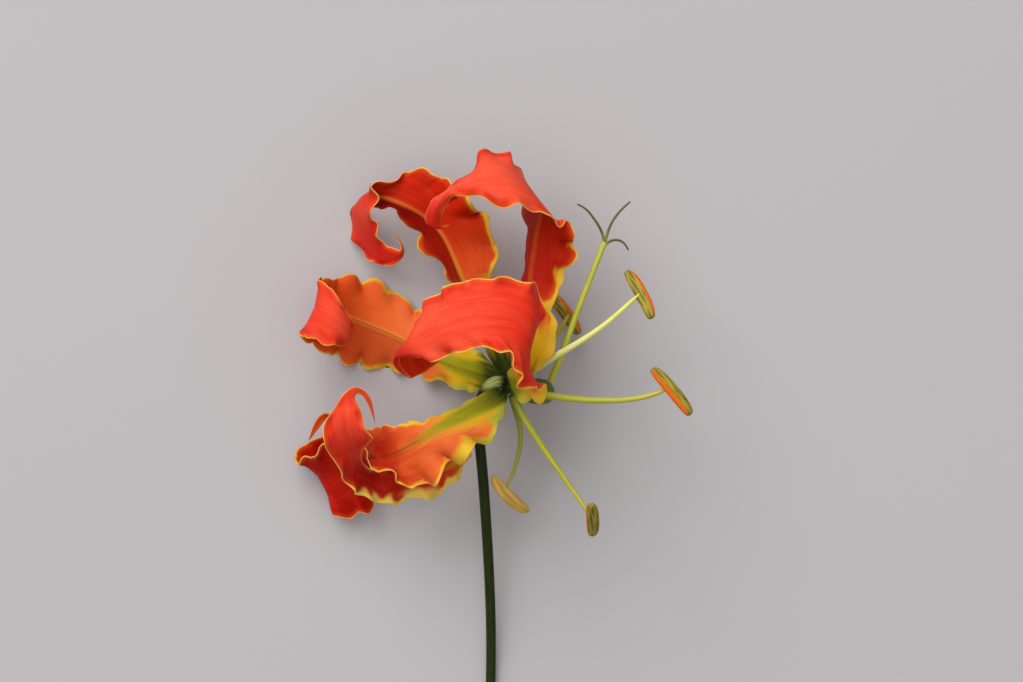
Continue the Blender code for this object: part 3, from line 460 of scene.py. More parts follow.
# The pistil: the ovary, and a style that leaves its end at a right angle.
OVARY_POINTING = np.array((0.93, -0.21, -0.30))
OVARY_START = 2.2
OVARY_LENGTH = 7.6
OVARY_RADIUS = 2.9
STYLE_ROUTE = (
    (7.2, -1.4, -3.2), (8.4, 0.6, -3.2), (9.6, 3.6, -3.0), (10.8, 6.2, -3.0), (13.8, 14.8, -3.0),
    (17.8, 24.8, -3.0), (19.4, 28.8, -3.0),
)
STYLE_RADII = (0.72, 0.55)
STIGMA_ROUTES = (
    ((19.4, 28.6, -3.0), (18.8, 31.2, -2.4), (17.2, 33.6, -1.6), (15.6, 35.6, -1.0), (13.8, 36.4, -0.8)),
    ((19.4, 28.6, -3.0), (20.2, 31.8, -3.2), (21.8, 34.4, -3.4), (23.4, 36.0, -3.4), (24.6, 37.0, -3.4)),
    ((19.4, 28.2, -3.0), (20.6, 29.2, -3.8), (22.0, 29.4, -4.2), (23.4, 28.8, -4.4), (24.2, 27.2, -4.4)),
)
STIGMA_FINE_RADII = (0.30, 0.19)

# The camera looks straight down. Its view is this wide at the receptacle.
CAMERA_HEIGHT = 1000.0
SENSOR_WIDTH = 36.0
VIEW_WIDTH = 204.6
VIEW_MIDDLE = np.array((0.7, 9.0, 0.0))

# The table's width and each lamp's place and size in metres, its power and
# its colour.
TABLE_WIDTH = 8.0
LAMPS = {
    "window": ((-0.70, 1.2, 1.25), 1.6, 31.0, (1.0, 0.985, 0.97)),
    "overhead": ((-0.2, 0.1, 1.4), 1.2, 4.5, (1.0, 1.0, 1.0)),
}
SKY_COLOUR = (1.0, 0.99, 0.995)


class FlowerSettings(bpy.types.PropertyGroup):
    """How fine the flower's pieces are, and its colours."""

    tepal_rows: IntProperty(
        name="Tepal Rows", description="Rows of faces from claw to tip", default=300, min=60, max=600
    )
    tepal_columns: IntProperty(
        name="Tepal Columns", description="Faces from margin to margin", default=44, min=12, max=80
    )
    tepal_thickness: FloatProperty(
        name="Tepal Thickness", description="Thickness at the midrib",
        default=0.00046, min=0.0002, max=0.001, precision=5, unit="LENGTH",
    )
    margin_thickness: FloatProperty(
        name="Margin Thickness", description="Thickness at the margins",
        default=0.0002, min=0.0001, max=0.0006, precision=5, unit="LENGTH",
    )
    grain_size: FloatProperty(
        name="Pollen Grain", description="Size of a clump of pollen",
        default=0.00016, min=0.00005, max=0.0004, precision=5, unit="LENGTH",
    )
    grain_density: FloatProperty(
        name="Pollen Density", description="Clumps of pollen in a square centimetre",
        default=700.0, min=0.0, max=5000.0,
    )
    inner_red: FloatVectorProperty(
        name="Inner Face", description="Red of the inner face",
        subtype="COLOR", default=(0.72, 0.026, 0.010), min=0, max=1,
    )
    outer_red: FloatVectorProperty(
        name="Outer Face", description="Red of the outer face",
        subtype="COLOR", default=(0.58, 0.016, 0.003), min=0, max=1,
    )
    outer_orange: FloatVectorProperty(
        name="Outer Orange", description="Orange of the outer face",
        subtype="COLOR", default=(0.75, 0.105, 0.018), min=0, max=1,
    )
    yellow: FloatVectorProperty(
        name="Margin Yellow", description="Yellow of the margins",
        subtype="COLOR", default=(0.74, 0.46, 0.030), min=0, max=1,
    )
    claw_green: FloatVectorProperty(
        name="Claw Green", description="Green at the claws",
        subtype="COLOR", default=(0.22, 0.23, 0.010), min=0, max=1,
    )
    stalk_green: FloatVectorProperty(
        name="Stalk Green", description="Green of the stalk",
        subtype="COLOR", default=(0.014, 0.022, 0.003), min=0, max=1,
    )


def to_frame(places):
    """Turn places on the flower, in millimetres, into the frame's metres."""
    return (np.asarray(places, dtype=float) - MIDDLE) * MM


def ease(low, high, value):
    """Rise smoothly from 0 at low to 1 at high."""
    share = np.clip((np.asarray(value, dtype=float) - low) / (high - low), 0.0, 1.0)
    return share * share * (3.0 - 2.0 * share)


def bump_of(value, width):
    """A smooth bump of height one around zero."""
    return np.exp(-((np.asarray(value) / width) ** 2))


def unit(rows):
    """Return vectors of length one."""
    return rows / (np.linalg.norm(rows, axis=-1, keepdims=True) + 1e-9)


def on_curve(points, shares):
    """Return the places at these shares of the way along a smooth curve led by points."""
    points = np.asarray(points, dtype=float)
    last = len(points) - 1
    led = np.vstack((2.0 * points[0] - points[1], points, 2.0 * points[-1] - points[-2]))
    first = np.minimum((shares * last).astype(int), last - 1)
    part = (shares * last - first)[:, None]
    weights = (
        (1.0 - part) ** 3,
        3.0 * part**3 - 6.0 * part**2 + 4.0,
        -3.0 * part**3 + 3.0 * part**2 + 3.0 * part + 1.0,
        part**3,
    )
    return sum(weight * led[first + index] for index, weight in enumerate(weights)) / 6.0


def lengths_along(places):
    """Return how far along a run of places each one is."""
    steps = np.linalg.norm(np.diff(places, axis=0), axis=1)
    return np.concatenate(([0.0], np.cumsum(steps)))


def turns_round(sides):
    """Return this many angles round a ring, as a row."""
    return np.linspace(0.0, 2.0 * math.pi, sides, endpoint=False)[None]


def ball_angles(rows, sides):
    """Return the heights and widths of a ball's rings, without its poles, and the turns round it."""
    tilt = np.linspace(-math.pi / 2.0, math.pi / 2.0, rows + 1)[1:-1, None]
    return np.sin(tilt), np.cos(tilt), turns_round(sides)


def rings_round_axis(middles, wide, turns):
    """Return rings round the flower's axis, from their middles and how wide they are."""
    x, y = (wide * np.cos(turns))[..., None], (wide * np.sin(turns))[..., None]
    return middles + x * RING_UP + y * RING_NEAR


def closed_loft(rings, values):
    """Return a closed mesh through rings of places, with its values as attributes.

    rings is rings x places x 3 in millimetres, and each value spreads over
    rings x places. Each end is closed by a fan round a middle place.
    """
    count, sides = rings.shape[:2]
    places = np.vstack((rings.reshape(-1, 3), rings[0].mean(axis=0), rings[-1].mean(axis=0)))
    start_middle, end_middle = count * sides, count * sides + 1
    faces = []
    for ring in range(count - 1):
        near, far = ring * sides, (ring + 1) * sides
        faces += [(near + i, near + (i + 1) % sides, far + (i + 1) % sides, far + i) for i in range(sides)]
    last = (count - 1) * sides
    faces += [(start_middle, (i + 1) % sides, i) for i in range(sides)]
    faces += [(end_middle, last + i, last + (i + 1) % sides) for i in range(sides)]
    points = to_frame(places)
    points[:, 2] = np.maximum(points[:, 2], 0.0)
    mesh = bpy.data.meshes.new("loft")
    mesh.from_pydata(points.tolist(), [], faces)
    for title, grid in values.items():
        grid = np.broadcast_to(grid, (count, sides))
        flat = np.concatenate((grid.reshape(-1), [grid[0].mean(), grid[-1].mean()]))
        mesh.attributes.new(title, "FLOAT", "POINT").data.foreach_set("value", flat.astype(np.float32))
    mesh.update()
    if signed_volume(mesh) < 0.0:
        mesh.flip_normals()
    mesh.shade_smooth()
    return mesh


def signed_volume(mesh):
    """Return a closed mesh's volume, negative where its faces point in."""
    mesh.calc_loop_triangles()
    corners = np.array([vertex.co for vertex in mesh.vertices])
    triangles = np.array([triangle.vertices for triangle in mesh.loop_triangles])
    a, b, c = (corners[triangles[:, corner]] for corner in range(3))
    return float(np.einsum("ij,ij->i", a, np.cross(b, c)).sum() / 6.0)


def place_piece(name, mesh, material, nodes):
    """Show a finished mesh as a piece that stands for CAD nodes."""
    piece = bpy.data.objects.new(name, mesh)
    mesh.name = name
    bpy.context.scene.collection.objects.link(piece)
    mesh.materials.clear()
    mesh.materials.append(material)
    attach(piece, "root")
    if nodes:
        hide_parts(*nodes)
    return piece


class Graph:
    """Short ways to add nodes to a material's or a group's tree."""

    def __init__(self, tree):
        self.tree = tree

    def add(self, kind, inputs=None, **settings):
        """Add a node with these settings, and link or set its inputs."""
        node = self.tree.nodes.new(kind)
        for name, value in settings.items():
            setattr(node, name, value)
        self.fill(node, inputs or {})
        return node

    def fill(self, node, inputs):
        """Link or set some of a node's inputs."""
        for key, value in inputs.items():
            self.feed(node.inputs[key], value)

    def feed(self, socket, value):
        """Link a socket to an input, or set the input's value."""
        if isinstance(value, bpy.types.NodeSocket):
            self.tree.links.new(value, socket)
        elif socket.type == "RGBA" and len(value) == 3:
            socket.default_value = (*value, 1.0)
        else:
            socket.default_value = value

    def math(self, operation, *values):
        """Return a Math node's output."""
        return self.add("ShaderNodeMath", dict(enumerate(values)), operation=operation).outputs[0]

    def times(self, product, *others):
        """Return the product of some values."""
        for other in others:
            product = self.math("MULTIPLY", product, other)
        return product

    def plus(self, first, second):
        """Return the sum of two values."""
        return self.math("ADD", first, second)

    def rest(self, share):
        """Return what a share leaves of one."""
        return self.math("SUBTRACT", 1.0, share)

    def attribute(self, name):
        """Return an attribute's value on the surface."""
        return self.add("ShaderNodeAttribute", attribute_name=name).outputs["Fac"]

    def ramp(self, value, low, high, start=0.0, end=1.0):
        """Return value moved smoothly from low..high to start..end."""
        inputs = {"Value": value, "From Min": low, "From Max": high, "To Min": start, "To Max": end}
        return self.add("ShaderNodeMapRange", inputs, interpolation_type="SMOOTHSTEP").outputs["Result"]

    def fall(self, value, low, high, start=1.0):
        """Return what falls smoothly from start to nothing as value goes from low to high."""
        return self.ramp(value, low, high, start, 0.0)

    def mix(self, share, first, second):
        """Return two colours mixed."""
        return self.add("ShaderNodeMix", {0: share, 6: first, 7: second}, data_type="RGBA").outputs[2]

    def coats(self, colour, *coats):
        """Return a colour under coats of others, each given as its mask and its colour."""
        for mask, coat in coats:
            colour = self.mix(mask, colour, coat)
        return colour

    def noise(self, vector, scale, detail=2.0, rough=0.5):
        """Return a noise's value."""
        inputs = {"Vector": vector, "Scale": scale, "Detail": detail, "Roughness": rough}
        return self.add("ShaderNodeTexNoise", inputs).outputs["Fac"]

    def vector(self, x, y, z):
        """Return a vector made of three values."""
        return self.add("ShaderNodeCombineXYZ", {0: x, 1: y, 2: z}).outputs[0]

    def object_place(self):
        """Return the place in the frame, in metres."""
        return self.add("ShaderNodeTexCoord").outputs["Object"]

    def bump(self, height, strength, distance):
        """Return a normal that follows a height."""
        inputs = {"Height": height, "Strength": strength, "Distance": distance}
        return self.add("ShaderNodeBump", inputs).outputs[0]

    def streaks(self, scales):
        """Return the outputs of the lengthways streaks laid on this surface at some scales."""
        inputs = {"Across": self.attribute("across_mm"), "Along": self.attribute("along_mm"), **scales}
        return self.add("ShaderNodeGroup", inputs, node_tree=streaks_group()).outputs


def new_group(name, inputs, outputs, kind):
    """Return an empty shader node group, its graph, and its input and output nodes."""
    group = bpy.data.node_groups.new(name, "ShaderNodeTree")
    for title, value in inputs.items():
        socket_type = NUMBER if isinstance(value, float) else COLOUR
        group.interface.new_socket(title, in_out="INPUT", socket_type=socket_type).default_value = value
    for title in outputs:
        group.interface.new_socket(title, in_out="OUTPUT", socket_type=kind)
    given = group.nodes.new("NodeGroupInput").outputs
    return group, Graph(group), given, group.nodes.new("NodeGroupOutput").inputs


def new_material(name):
    """Return a new material, its graph and its Principled shader."""
    material = bpy.data.materials.new(name)
    material.use_nodes = True
    return material, Graph(material.node_tree), material.node_tree.nodes["Principled BSDF"]


def streaks_group():
    """Fine lines that run lengthways, finer veins, and broad blotches.

    Across and Along are millimetres on the surface.
    """
    name = "Lengthways Streaks"
    if name in bpy.data.node_groups:
        return bpy.data.node_groups[name]
    inputs = {"Across": 0.0, "Along": 0.0, "Streak Scale": 1.2, "Vein Scale": 5.0, "Offset": 0.0}
    group, graph, given, result = new_group(name, inputs, ("Streaks", "Veins", "Blotches"), NUMBER)
    for title, stretch, scale, detail, rough in (
        ("Streaks", 0.10, given["Streak Scale"], 3.0, 0.55),
        ("Veins", 0.03, given["Vein Scale"], 1.0, 0.5),
        ("Blotches", 1.0, 0.16, 2.0, 0.5),
    ):
        place = graph.vector(given["Across"], graph.times(given["Along"], stretch), given["Offset"])
        graph.feed(result[title], graph.noise(place, scale, detail, rough))
    return group


def tepal_paint_group(settings):
    """The tepals' colours: green claw, yellow margins, red inside, orange outside, with painted shade and a
    painted sheen.
    """
    name = "Tepal Paint"
    if name in bpy.data.node_groups:
        return bpy.data.node_groups[name]
    inputs = dict.fromkeys(PAINT_READINGS, 0.5)
    inputs.update({title: row[0] for title, row in TEPAL_PAINT.items()})
    inputs.update({title: (*getattr(settings, setting), 1.0) for title, setting in PAINT_SETTINGS.items()})
    group, graph, given, result = new_group(name, inputs, ("Colour",), COLOUR)
    wobble = graph.math("MULTIPLY_ADD", given["Streaks"], 0.12, -0.06)
    along = graph.plus(given["Along"], wobble)
    body = graph.mix(given["Side"], outer_face(graph, given, along), inner_face(graph, given))
    body = shaded_face(graph, given, along, body)
    graph.feed(result["Colour"], margins_and_claw(graph, given, along, body))
    return group


def inner_face(graph, given):
    """The inner face: red, pale coral further out that is partly a painted sheen, crimson at the tip, and
    darker red along the rim as painted shade.
    """
    along, blotches, pale_sheen_start = given["Along"], given["Blotches"], given["Pale Sheen Start"]
    # Painted sheen: the inner face pales further out, partly its own lighter red and partly painted light.
    pale = graph.ramp(along, pale_sheen_start, graph.plus(pale_sheen_start, 0.45), 0.0, 0.60)
    pale = graph.math("MULTIPLY_ADD", graph.ramp(given["Streaks"], 0.30, 0.72), 0.30, pale)
    tip = graph.ramp(along, given["Tip Start"], graph.plus(given["Tip Start"], 0.12))
    # Painted shade: darker red along the frilled margins, mottled by the blotches.
    rim = graph.fall(given["From Margin"], 0.4, 3.2, 0.85)
    return graph.coats(
        given["Inner Red"],
        (graph.times(pale, graph.rest(tip)), CORAL_SHEEN),
        (graph.ramp(blotches, 0.35, 0.7, 0.0, 0.35), SCARLET),
        (graph.times(tip, 0.75), CRIMSON),
        (graph.times(rim, graph.ramp(blotches, 0.38, 0.56, 0.1, 1.0)), RIM_SHADE_RED),
    )


def outer_face(graph, given, along):
    """The outer face: orange near the claw, red further out, with an orange midrib."""
    streaks, turn_start = given["Streaks"], given["Turn Start"]
    warm = graph.fall(along, graph.times(turn_start, 0.5), graph.plus(turn_start, 0.07), 0.55)
    line = graph.fall(given["From Midrib"], 0.12, 0.85)
    return graph.coats(
        given["Outer Orange"],
        (graph.ramp(along, turn_start, given["Turn End"]), given["Outer Red"]),
        (graph.ramp(streaks, 0.40, 0.70, 0.0, 0.30), ORANGE_RED),
        (graph.times(warm, graph.ramp(streaks, 0.30, 0.65, 0.55, 1.0)), APRICOT),
        (graph.times(line, given["Midrib Line"], 0.8), MIDRIB_ORANGE),
    )


def shaded_face(graph, given, along, body):
    """Painted shade: deep red near the claw, shade over the outer face's halves and in the midrib's crease;
    and the veins.
    """
    side, pale_sheen_start = given["Side"], given["Pale Sheen Start"]
    outside = graph.rest(side)
    # Painted shade: deep red, mottled by the blotches, before the pale part.
    deep = graph.times(
        graph.ramp(given["Blotches"], 0.25, 0.65, 0.35, 1.0),
        given["Deep Shade"],
        graph.fall(given["Along"], pale_sheen_start, graph.plus(pale_sheen_start, 0.16)),
        graph.ramp(along, 0.18, 0.40),
    )
    # Painted shade over the halves of the outer face that turn from the light.
    half_shade = graph.times(
        graph.ramp(given["Across"], -0.4, 0.7, given["First Half Shade"], given["Second Half Shade"]),
        graph.ramp(along, 0.08, 0.22),
        outside,
        graph.ramp(given["From Margin"], 0.3, 2.4, 0.35, 1.0),
    )
    # Painted shade in the midrib's crease, on both faces.
    inner_crease = graph.times(side, graph.ramp(along, 0.2, 0.5, 0.0, 0.12))
    outer_crease = graph.times(outside, given["Crease Shade"])
    crease = graph.fall(given["From Midrib"], 0.05, 0.32)
    return graph.coats(
        body,
        (deep, DEEP_SHADE_RED),
        (half_shade, HALF_SHADE_RED),
        (graph.times(crease, graph.plus(inner_crease, outer_crease)), CREASE_SHADE_BROWN),
        (graph.ramp(given["Veins"], 0.54, 0.70, 0.0, 0.16), VEIN_RED),
    )


def margin_width(graph, given, along):
    """Return how wide the yellow margin is, in millimetres."""
    narrow = given["Narrow Margin"]
    reach = graph.fall(along, given["Reach Start"], given["Reach End"])
    return graph.times(
        graph.math("MULTIPLY_ADD", reach, graph.math("SUBTRACT", given["Wide Margin"], narrow), narrow),
        graph.ramp(given["Blotches"], 0.34, 0.66, 0.45, 1.55),
        graph.math("MULTIPLY_ADD", given["Side"], -0.30, 1.0),
        graph.ramp(given["Across"], -0.3, 0.3, given["First Share"], given["Second Share"]),
        graph.ramp(given["Along"], 0.55, 0.80, 1.0, 0.50),
        graph.ramp(given["Along"], 0.80, 0.97, 1.0, 0.12),
    )


def margins_and_claw(graph, given, along, body):
    """The yellow margins, which melt into the red, the yellow and green claw, and painted shade at the very
    base.
    """
    from_margin, from_midrib = given["From Margin"], given["From Midrib"]
    green_reach, yellow_reach = given["Green Reach"], given["Yellow Reach"]
    width = margin_width(graph, given, along)
    melt = graph.fall(from_margin, graph.times(width, 0.6), graph.plus(width, 1.3), 0.50)
    margin = graph.fall(graph.math("DIVIDE", from_margin, width), 0.45, 1.25)
    flank = graph.math("MULTIPLY_ADD", from_midrib, given["Flank"], along)
    claw = graph.fall(flank, graph.times(yellow_reach, 0.65), yellow_reach)
    greenish = graph.fall(along, graph.times(green_reach, 0.9), graph.times(green_reach, 1.9))
    central = graph.times(greenish, graph.ramp(from_midrib, 0.9, 2.6, 1.0, 0.25))
    edge = graph.times(
        graph.fall(from_margin, 0.10, 0.36),
        graph.ramp(along, 0.1, 0.4),
        given["Edge Line"],
        graph.fall(given["Along"], 0.82, 0.96),
    )
    green = graph.fall(along, graph.times(green_reach, 0.25), green_reach)
    stripe_width = graph.ramp(along, 0.0, graph.times(green_reach, 3.0), 3.4, 0.25)
    stripe = graph.times(
        graph.fall(graph.math("DIVIDE", from_midrib, stripe_width), 0.35, 1.1),
        graph.fall(along, graph.times(green_reach, 1.3), graph.times(green_reach, 2.6), 0.85),
        graph.rest(graph.times(given["Side"], 0.6)),
        graph.ramp(given["Streaks"], 0.25, 0.6, 0.6, 1.0),
    )
    # Painted shade: dark green at the very base of the claws.
    base = graph.fall(along, graph.times(given["Base Shade"], 0.30), given["Base Shade"], 0.96)
    return graph.coats(
        body,
        (melt, graph.mix(0.55, body, FLAME_ORANGE)),
        (claw, graph.mix(central, CLAW_GOLD, CLAW_LIME)),
        (margin, graph.mix(greenish, given["Yellow"], MARGIN_LIME)),
        (edge, EDGE_PEACH),
        (graph.math("MAXIMUM", green, stripe), given["Green"]),
        (base, BASE_SHADE_GREEN),
    )


def tepal_material(name, number, settings):
    """Return one tepal's material."""
    material, graph, shader = new_material(name)
    across_mm = graph.attribute("across_mm")
    streaks = graph.streaks({"Offset": 3.7 * number})
    inputs = {
        "Side": graph.attribute("side"),
        "Along": graph.attribute("along"),
        "Across": across_mm,
        "From Margin": graph.attribute("margin_mm"),
        "From Midrib": graph.math("ABSOLUTE", across_mm),
        **{title: streaks[title] for title in ("Streaks", "Veins", "Blotches")},
        **{title: row[number - 1] for title, row in TEPAL_PAINT.items()},
    }
    # Painted light: this tepal's margins are paler where light falls on its lower frill.
    if name in PAINTED_LIGHT_MARGINS:
        inputs["Yellow"] = PAINTED_LIGHT_MARGINS[name]
    painted = graph.add("ShaderNodeGroup", inputs, node_tree=tepal_paint_group(settings))
    height = graph.math("MULTIPLY_ADD", streaks["Streaks"], 0.25, streaks["Veins"])
    graph.fill(
        shader,
        {
            "Base Color": painted.outputs["Colour"],
            "Roughness": graph.ramp(streaks["Blotches"], 0.3, 0.7, 0.40, 0.50),
            "Normal": graph.bump(height, 0.4, 0.00012),
            "IOR": 1.42,
            "Specular IOR Level": 0.05,
            "Subsurface Weight": 0.15,
            "Subsurface Radius": (1.0, 0.25, 0.10),
            "Subsurface Scale": 0.0008,
        },
    )
    return material


def tepal_sheet(name, shares, across):
    """Return a tepal's sheet before it is waved, and its two margins and its midrib."""
    ribs = np.array(TEPAL_RIBS[name])
    first, middle, second = (on_curve(ribs[:, side], shares) for side in range(3))
    t = across[None, :, None]
    bowed = (
        middle[:, None]
        + t * (second - first)[:, None] / 2.0
        + t**2 * ((first + second) / 2.0 - middle)[:, None]
    )
    side_line = np.where(t > 0, second[:, None], first[:, None])
    keeled = middle[:, None] + np.abs(t) * (side_line - middle[:, None])
    return (1.0 - KEEL) * bowed + KEEL * keeled, first, middle, second


def sheet_ways(sheet):
    """Return the directions along a sheet, across it and out of its inner face."""
    along_way = unit(np.gradient(sheet, axis=0))
    across_way = unit(np.gradient(sheet, axis=1))
    return along_way, across_way, unit(np.cross(across_way, along_way))


def crisped(sheet, margins, plan, number, shares, across):
    """Return a tepal's sheet with waves, crimps and scallops that grow towards its margins."""
    along_way, across_way, inner_way = sheet_ways(sheet)
    length, *starts = plan["waves"]
    last, pitch = plan["scallop"]
    lip = ease(0.04, 0.2, shares) * (1.0 - ease(last - 0.18, last, shares)) * math.sqrt(pitch / SCALLOP_PITCH)
    waved = sheet.copy()
    for half, margin, start, frill, lag, way in zip(
        (across <= 0, across > 0), margins, starts, plan["frills"], (2.0, 0.0), (-1.0, 1.0)
    ):
        out = np.abs(across[half])[None]
        run = lengths_along(margin)[:, None]
        heights = np.interp(shares * (len(frill) - 1), range(len(frill)), frill)[:, None]
        # Drifting places and swelling heights keep the waves from being alike.
        drift = 0.9 * np.sin(0.23 * run + number + lag)
        phase = 2.0 * math.pi * (run / length + start) + drift
        swell = heights * ease(0.35, 1.0, out) ** 1.3 * (1.0 + 0.35 * np.sin(0.31 * run + 1.7 * number))
        ripple = np.sin(2.0 * math.pi * run / CRIMP_LENGTH + 2.0 * number)
        crimp = CRIMP_HEIGHT * heights * ease(0.75, 1.0, out) * ripple
        arches = 1.0 - np.abs(np.sin(math.pi * run / pitch + 0.8 * drift))
        notch = lip[:, None] * ease(0.6, 1.0, out) * arches
        inward = swell * np.sin(phase) + crimp + SCALLOP_LIFT * notch
        forward = WAVE_ALONG * swell * np.cos(phase)
        outward = way * (WAVE_ACROSS * swell * np.cos(phase + 0.6) - SCALLOP_CUT * notch)
        waved[:, half] += (
            inward[..., None] * inner_way[:, half]
            + forward[..., None] * along_way[:, half]
            + outward[..., None] * across_way[:, half]
        )
    return waved


def tepal_rings(name, number, settings):
    """Return a tepal's closed rings and what its material reads at each place."""
    plan, columns = TEPAL_MARGINS[name], settings.tepal_columns
    shares = np.linspace(0.0, 1.0, settings.tepal_rows + 1)
    across = np.sin(np.linspace(-math.pi / 2.0, math.pi / 2.0, columns + 1))
    sheet, first, middle, second = tepal_sheet(name, shares, across)
    waved = crisped(sheet, (first, second), plan, number, shares, across)
    inner_way = sheet_ways(waved)[2]
    steps = np.linalg.norm(np.diff(waved, axis=1, prepend=waved[:, :1]), axis=2)
    across_run = np.cumsum(steps, axis=1)
    across_mm = across_run - across_run[:, columns // 2, None]
    margin_mm = np.minimum(across_run, across_run[:, -1:] - across_run)
    thin, thick = settings.margin_thickness / MM, settings.tepal_thickness / MM
    half_thick = (thin + (thick - thin) * (1.0 - across**4))[None, :, None] / 2.0
    fade = (1.0 - shares)[:, None] ** 0.5
    rib = plan["midrib"] * fade * bump_of(across_mm, 0.50)
    groove = GROOVE_DEPTH * fade * bump_of(across_mm, 0.40)
    inner_face_places = waved + inner_way * (half_thick - groove[..., None])
    outer_face_places = waved - inner_way * (half_thick + rib[..., None])
    rings = np.hstack((inner_face_places, outer_face_places[:, ::-1]))
    values = {
        "side": np.repeat((1.0, 0.0), columns + 1),
        "along": shares[:, None],
        "along_mm": lengths_along(middle)[:, None],
        "across_mm": np.hstack((across_mm, across_mm[:, ::-1])),
        "margin_mm": np.hstack((margin_mm, margin_mm[:, ::-1])),
    }
    return rings, values


def tube_frame(route, rows):
    """Return places along a smooth route and two crossways directions at each."""
    places = on_curve(route, np.linspace(0.0, 1.0, rows + 1))
    ahead = unit(np.gradient(places, axis=0))
    side = unit(np.cross(UP if abs(ahead[0][2]) < 0.9 else FACING, ahead[0]))
    sides = []
    for direction in ahead:
        side = unit(side - direction * np.dot(side, direction))
        sides.append(side)
    return places, np.array(sides), np.cross(ahead, sides)


def tube_rings(route, radii, faces, shape=None):
    """Return the closed rings of a tube whose radius follows its length."""
    rows, sides = faces
    places, side_way, up_way = tube_frame(route, rows)
    shares = np.linspace(0.0, 1.0, rows + 1)[:, None]
    turns = turns_round(sides)
    radius = radii[0] + (radii[1] - radii[0]) * shares
    if shape is not None:
        radius = radius * shape(shares, turns)
    x, y = np.cos(turns)[..., None], np.sin(turns)[..., None]
    rings = places[:, None] + radius[..., None] * (x * side_way[:, None] + y * up_way[:, None])
    return rings, {"along": shares, "along_mm": lengths_along(places)[:, None], "across_mm": turns * radius}


def stem_material(name):
    """Return a green stem's material: three colours along it, with fine lengthways lines."""
    base, middle, end, lines, roughness = STEM_PAINT[name]
    material, graph, shader = new_material(name)
    streaks = graph.streaks({"Streak Scale": 2.6, "Vein Scale": 7.0})
    along = graph.attribute("along")
    colour = graph.coats(
        base,
        (graph.ramp(along, 0.0, 0.30), middle),
        (graph.ramp(along, 0.45, 1.0), end),
        (graph.ramp(streaks["Streaks"], 0.45, 0.72, 0.0, 0.5), lines),
        (graph.ramp(streaks["Blotches"], 0.45, 0.75, 0.0, 0.25), base),
    )
    graph.fill(
        shader,
        {
            "Base Color": colour,
            "Roughness": graph.ramp(streaks["Veins"], 0.3, 0.7, roughness, roughness + 0.12),
            "Normal": graph.bump(streaks["Streaks"], 0.6, 0.00008),
            "IOR": 1.45,
            "Subsurface Weight": 0.10,
            "Subsurface Radius": (0.6, 0.8, 0.2),
            "Subsurface Scale": 0.0006,
        },
    )
    return material


def anther_rings(middle, pointing, bend):
    """Return a pod with a deep groove along its back and a split along its face."""
    z, wide, turns = ball_angles(*ANTHER_FACES)
    length_way = unit(np.array(pointing))
    side_way = unit(np.cross(UP, length_way))
    depth_way = np.cross(length_way, side_way)
    x, y = np.cos(turns), np.sin(turns)
    lobes = 1.0 - (0.20 * bump_of(x, 0.22) + 0.06 * bump_of(y, 0.18)) * (1.0 - z * z)
    wide = wide * np.maximum(1e-6, 1.0 - z * z) ** -0.22 * lobes
    length, width, depth = ANTHER_FULLNESS * ANTHER_SIZE / 2.0
    run = np.sign(z) * np.abs(z) ** 0.9 * length
    rings = (
        np.array(middle)
        + length_way * run[..., None]
        + side_way * (wide * x * width + bend * (0.5 - z * z))[..., None]
        + depth_way * (wide * y * depth)[..., None]
    )
    values = {"along": (z + 1.0) / 2.0, "along_mm": run, "across_mm": turns * 1.2, "turn": np.degrees(turns)}
    return rings, values


def pollen_mask(values, shown):
    """Return how much pollen lies at each place: along the splits on the side shown."""
    away = (values["turn"] - shown + 180.0) % 360.0 - 180.0
    ends = ease(0.0, 0.10, values["along"]) * (1.0 - ease(0.90, 1.0, values["along"]))
    strip = bump_of(away - 12.0, 42.0)
    second = 0.55 * bump_of((values["turn"] - shown + 20.0) % 360.0 - 180.0, 20.0)
    return np.clip(strip + second, 0.0, 1.0) * ends


def anther_material():
    """Return the anthers' material: olive pods that turn orange where pollen lies."""
    material, graph, shader = new_material("anther_pod")
    place = graph.object_place()
    fine = graph.noise(place, 2600.0, 3.0, 0.6)
    coarse = graph.noise(place, 420.0)
    streaks = graph.streaks({"Streak Scale": 2.2})
    pod = graph.mix(graph.ramp(streaks["Streaks"], 0.35, 0.65), *POD_OLIVES)
    pod = graph.mix(graph.ramp(coarse, 0.45, 0.7, 0.0, 0.4), pod, POD_STAIN)
    dust = graph.mix(fine, *POD_DUSTS)
    edge = graph.plus(graph.attribute("pollen"), graph.math("MULTIPLY_ADD", fine, 0.5, -0.25))
    powder = graph.ramp(edge, 0.34, 0.52)
    height = graph.times(fine, graph.math("MULTIPLY_ADD", powder, 0.8, 0.2))
    graph.fill(
        shader,
        {
            "Base Color": graph.mix(powder, pod, dust),
            "Roughness": graph.ramp(powder, 0.0, 1.0, 0.55, 0.92),
            "Normal": graph.bump(height, 0.8, 0.00018),
            "Specular IOR Level": 0.15,
        },
    )
    return material


def bare_anther_material():
    """Return the ochre material of the anther seen from its smooth back."""
    material, graph, shader = new_material("anther_back")
    streaks = graph.streaks({})
    fine = graph.noise(graph.object_place(), 1800.0, 3.0, 0.6)
    colour = graph.mix(graph.ramp(streaks["Streaks"], 0.3, 0.7), *BARE_OCHRES)
    colour = graph.mix(graph.ramp(fine, 0.45, 0.75, 0.0, 0.35), colour, BARE_STAIN)
    graph.fill(shader, {"Base Color": colour, "Roughness": 0.62, "Specular IOR Level": 0.15})
    graph.feed(shader.inputs["Normal"], graph.bump(fine, 0.6, 0.00012))
    return material


def pollen_material():
    """Return the pollen's material."""
    material, graph, shader = new_material("pollen")
    shade = graph.noise(graph.object_place(), 1500.0, 1.0, 0.5)
    colour = graph.mix(graph.ramp(shade, 0.35, 0.65), *POLLEN_ORANGES)
    roughness = graph.ramp(shade, 0.3, 0.7, 0.80, 0.95)
    graph.fill(shader, {"Base Color": colour, "Roughness": roughness, "Specular IOR Level": 0.15})
    return material


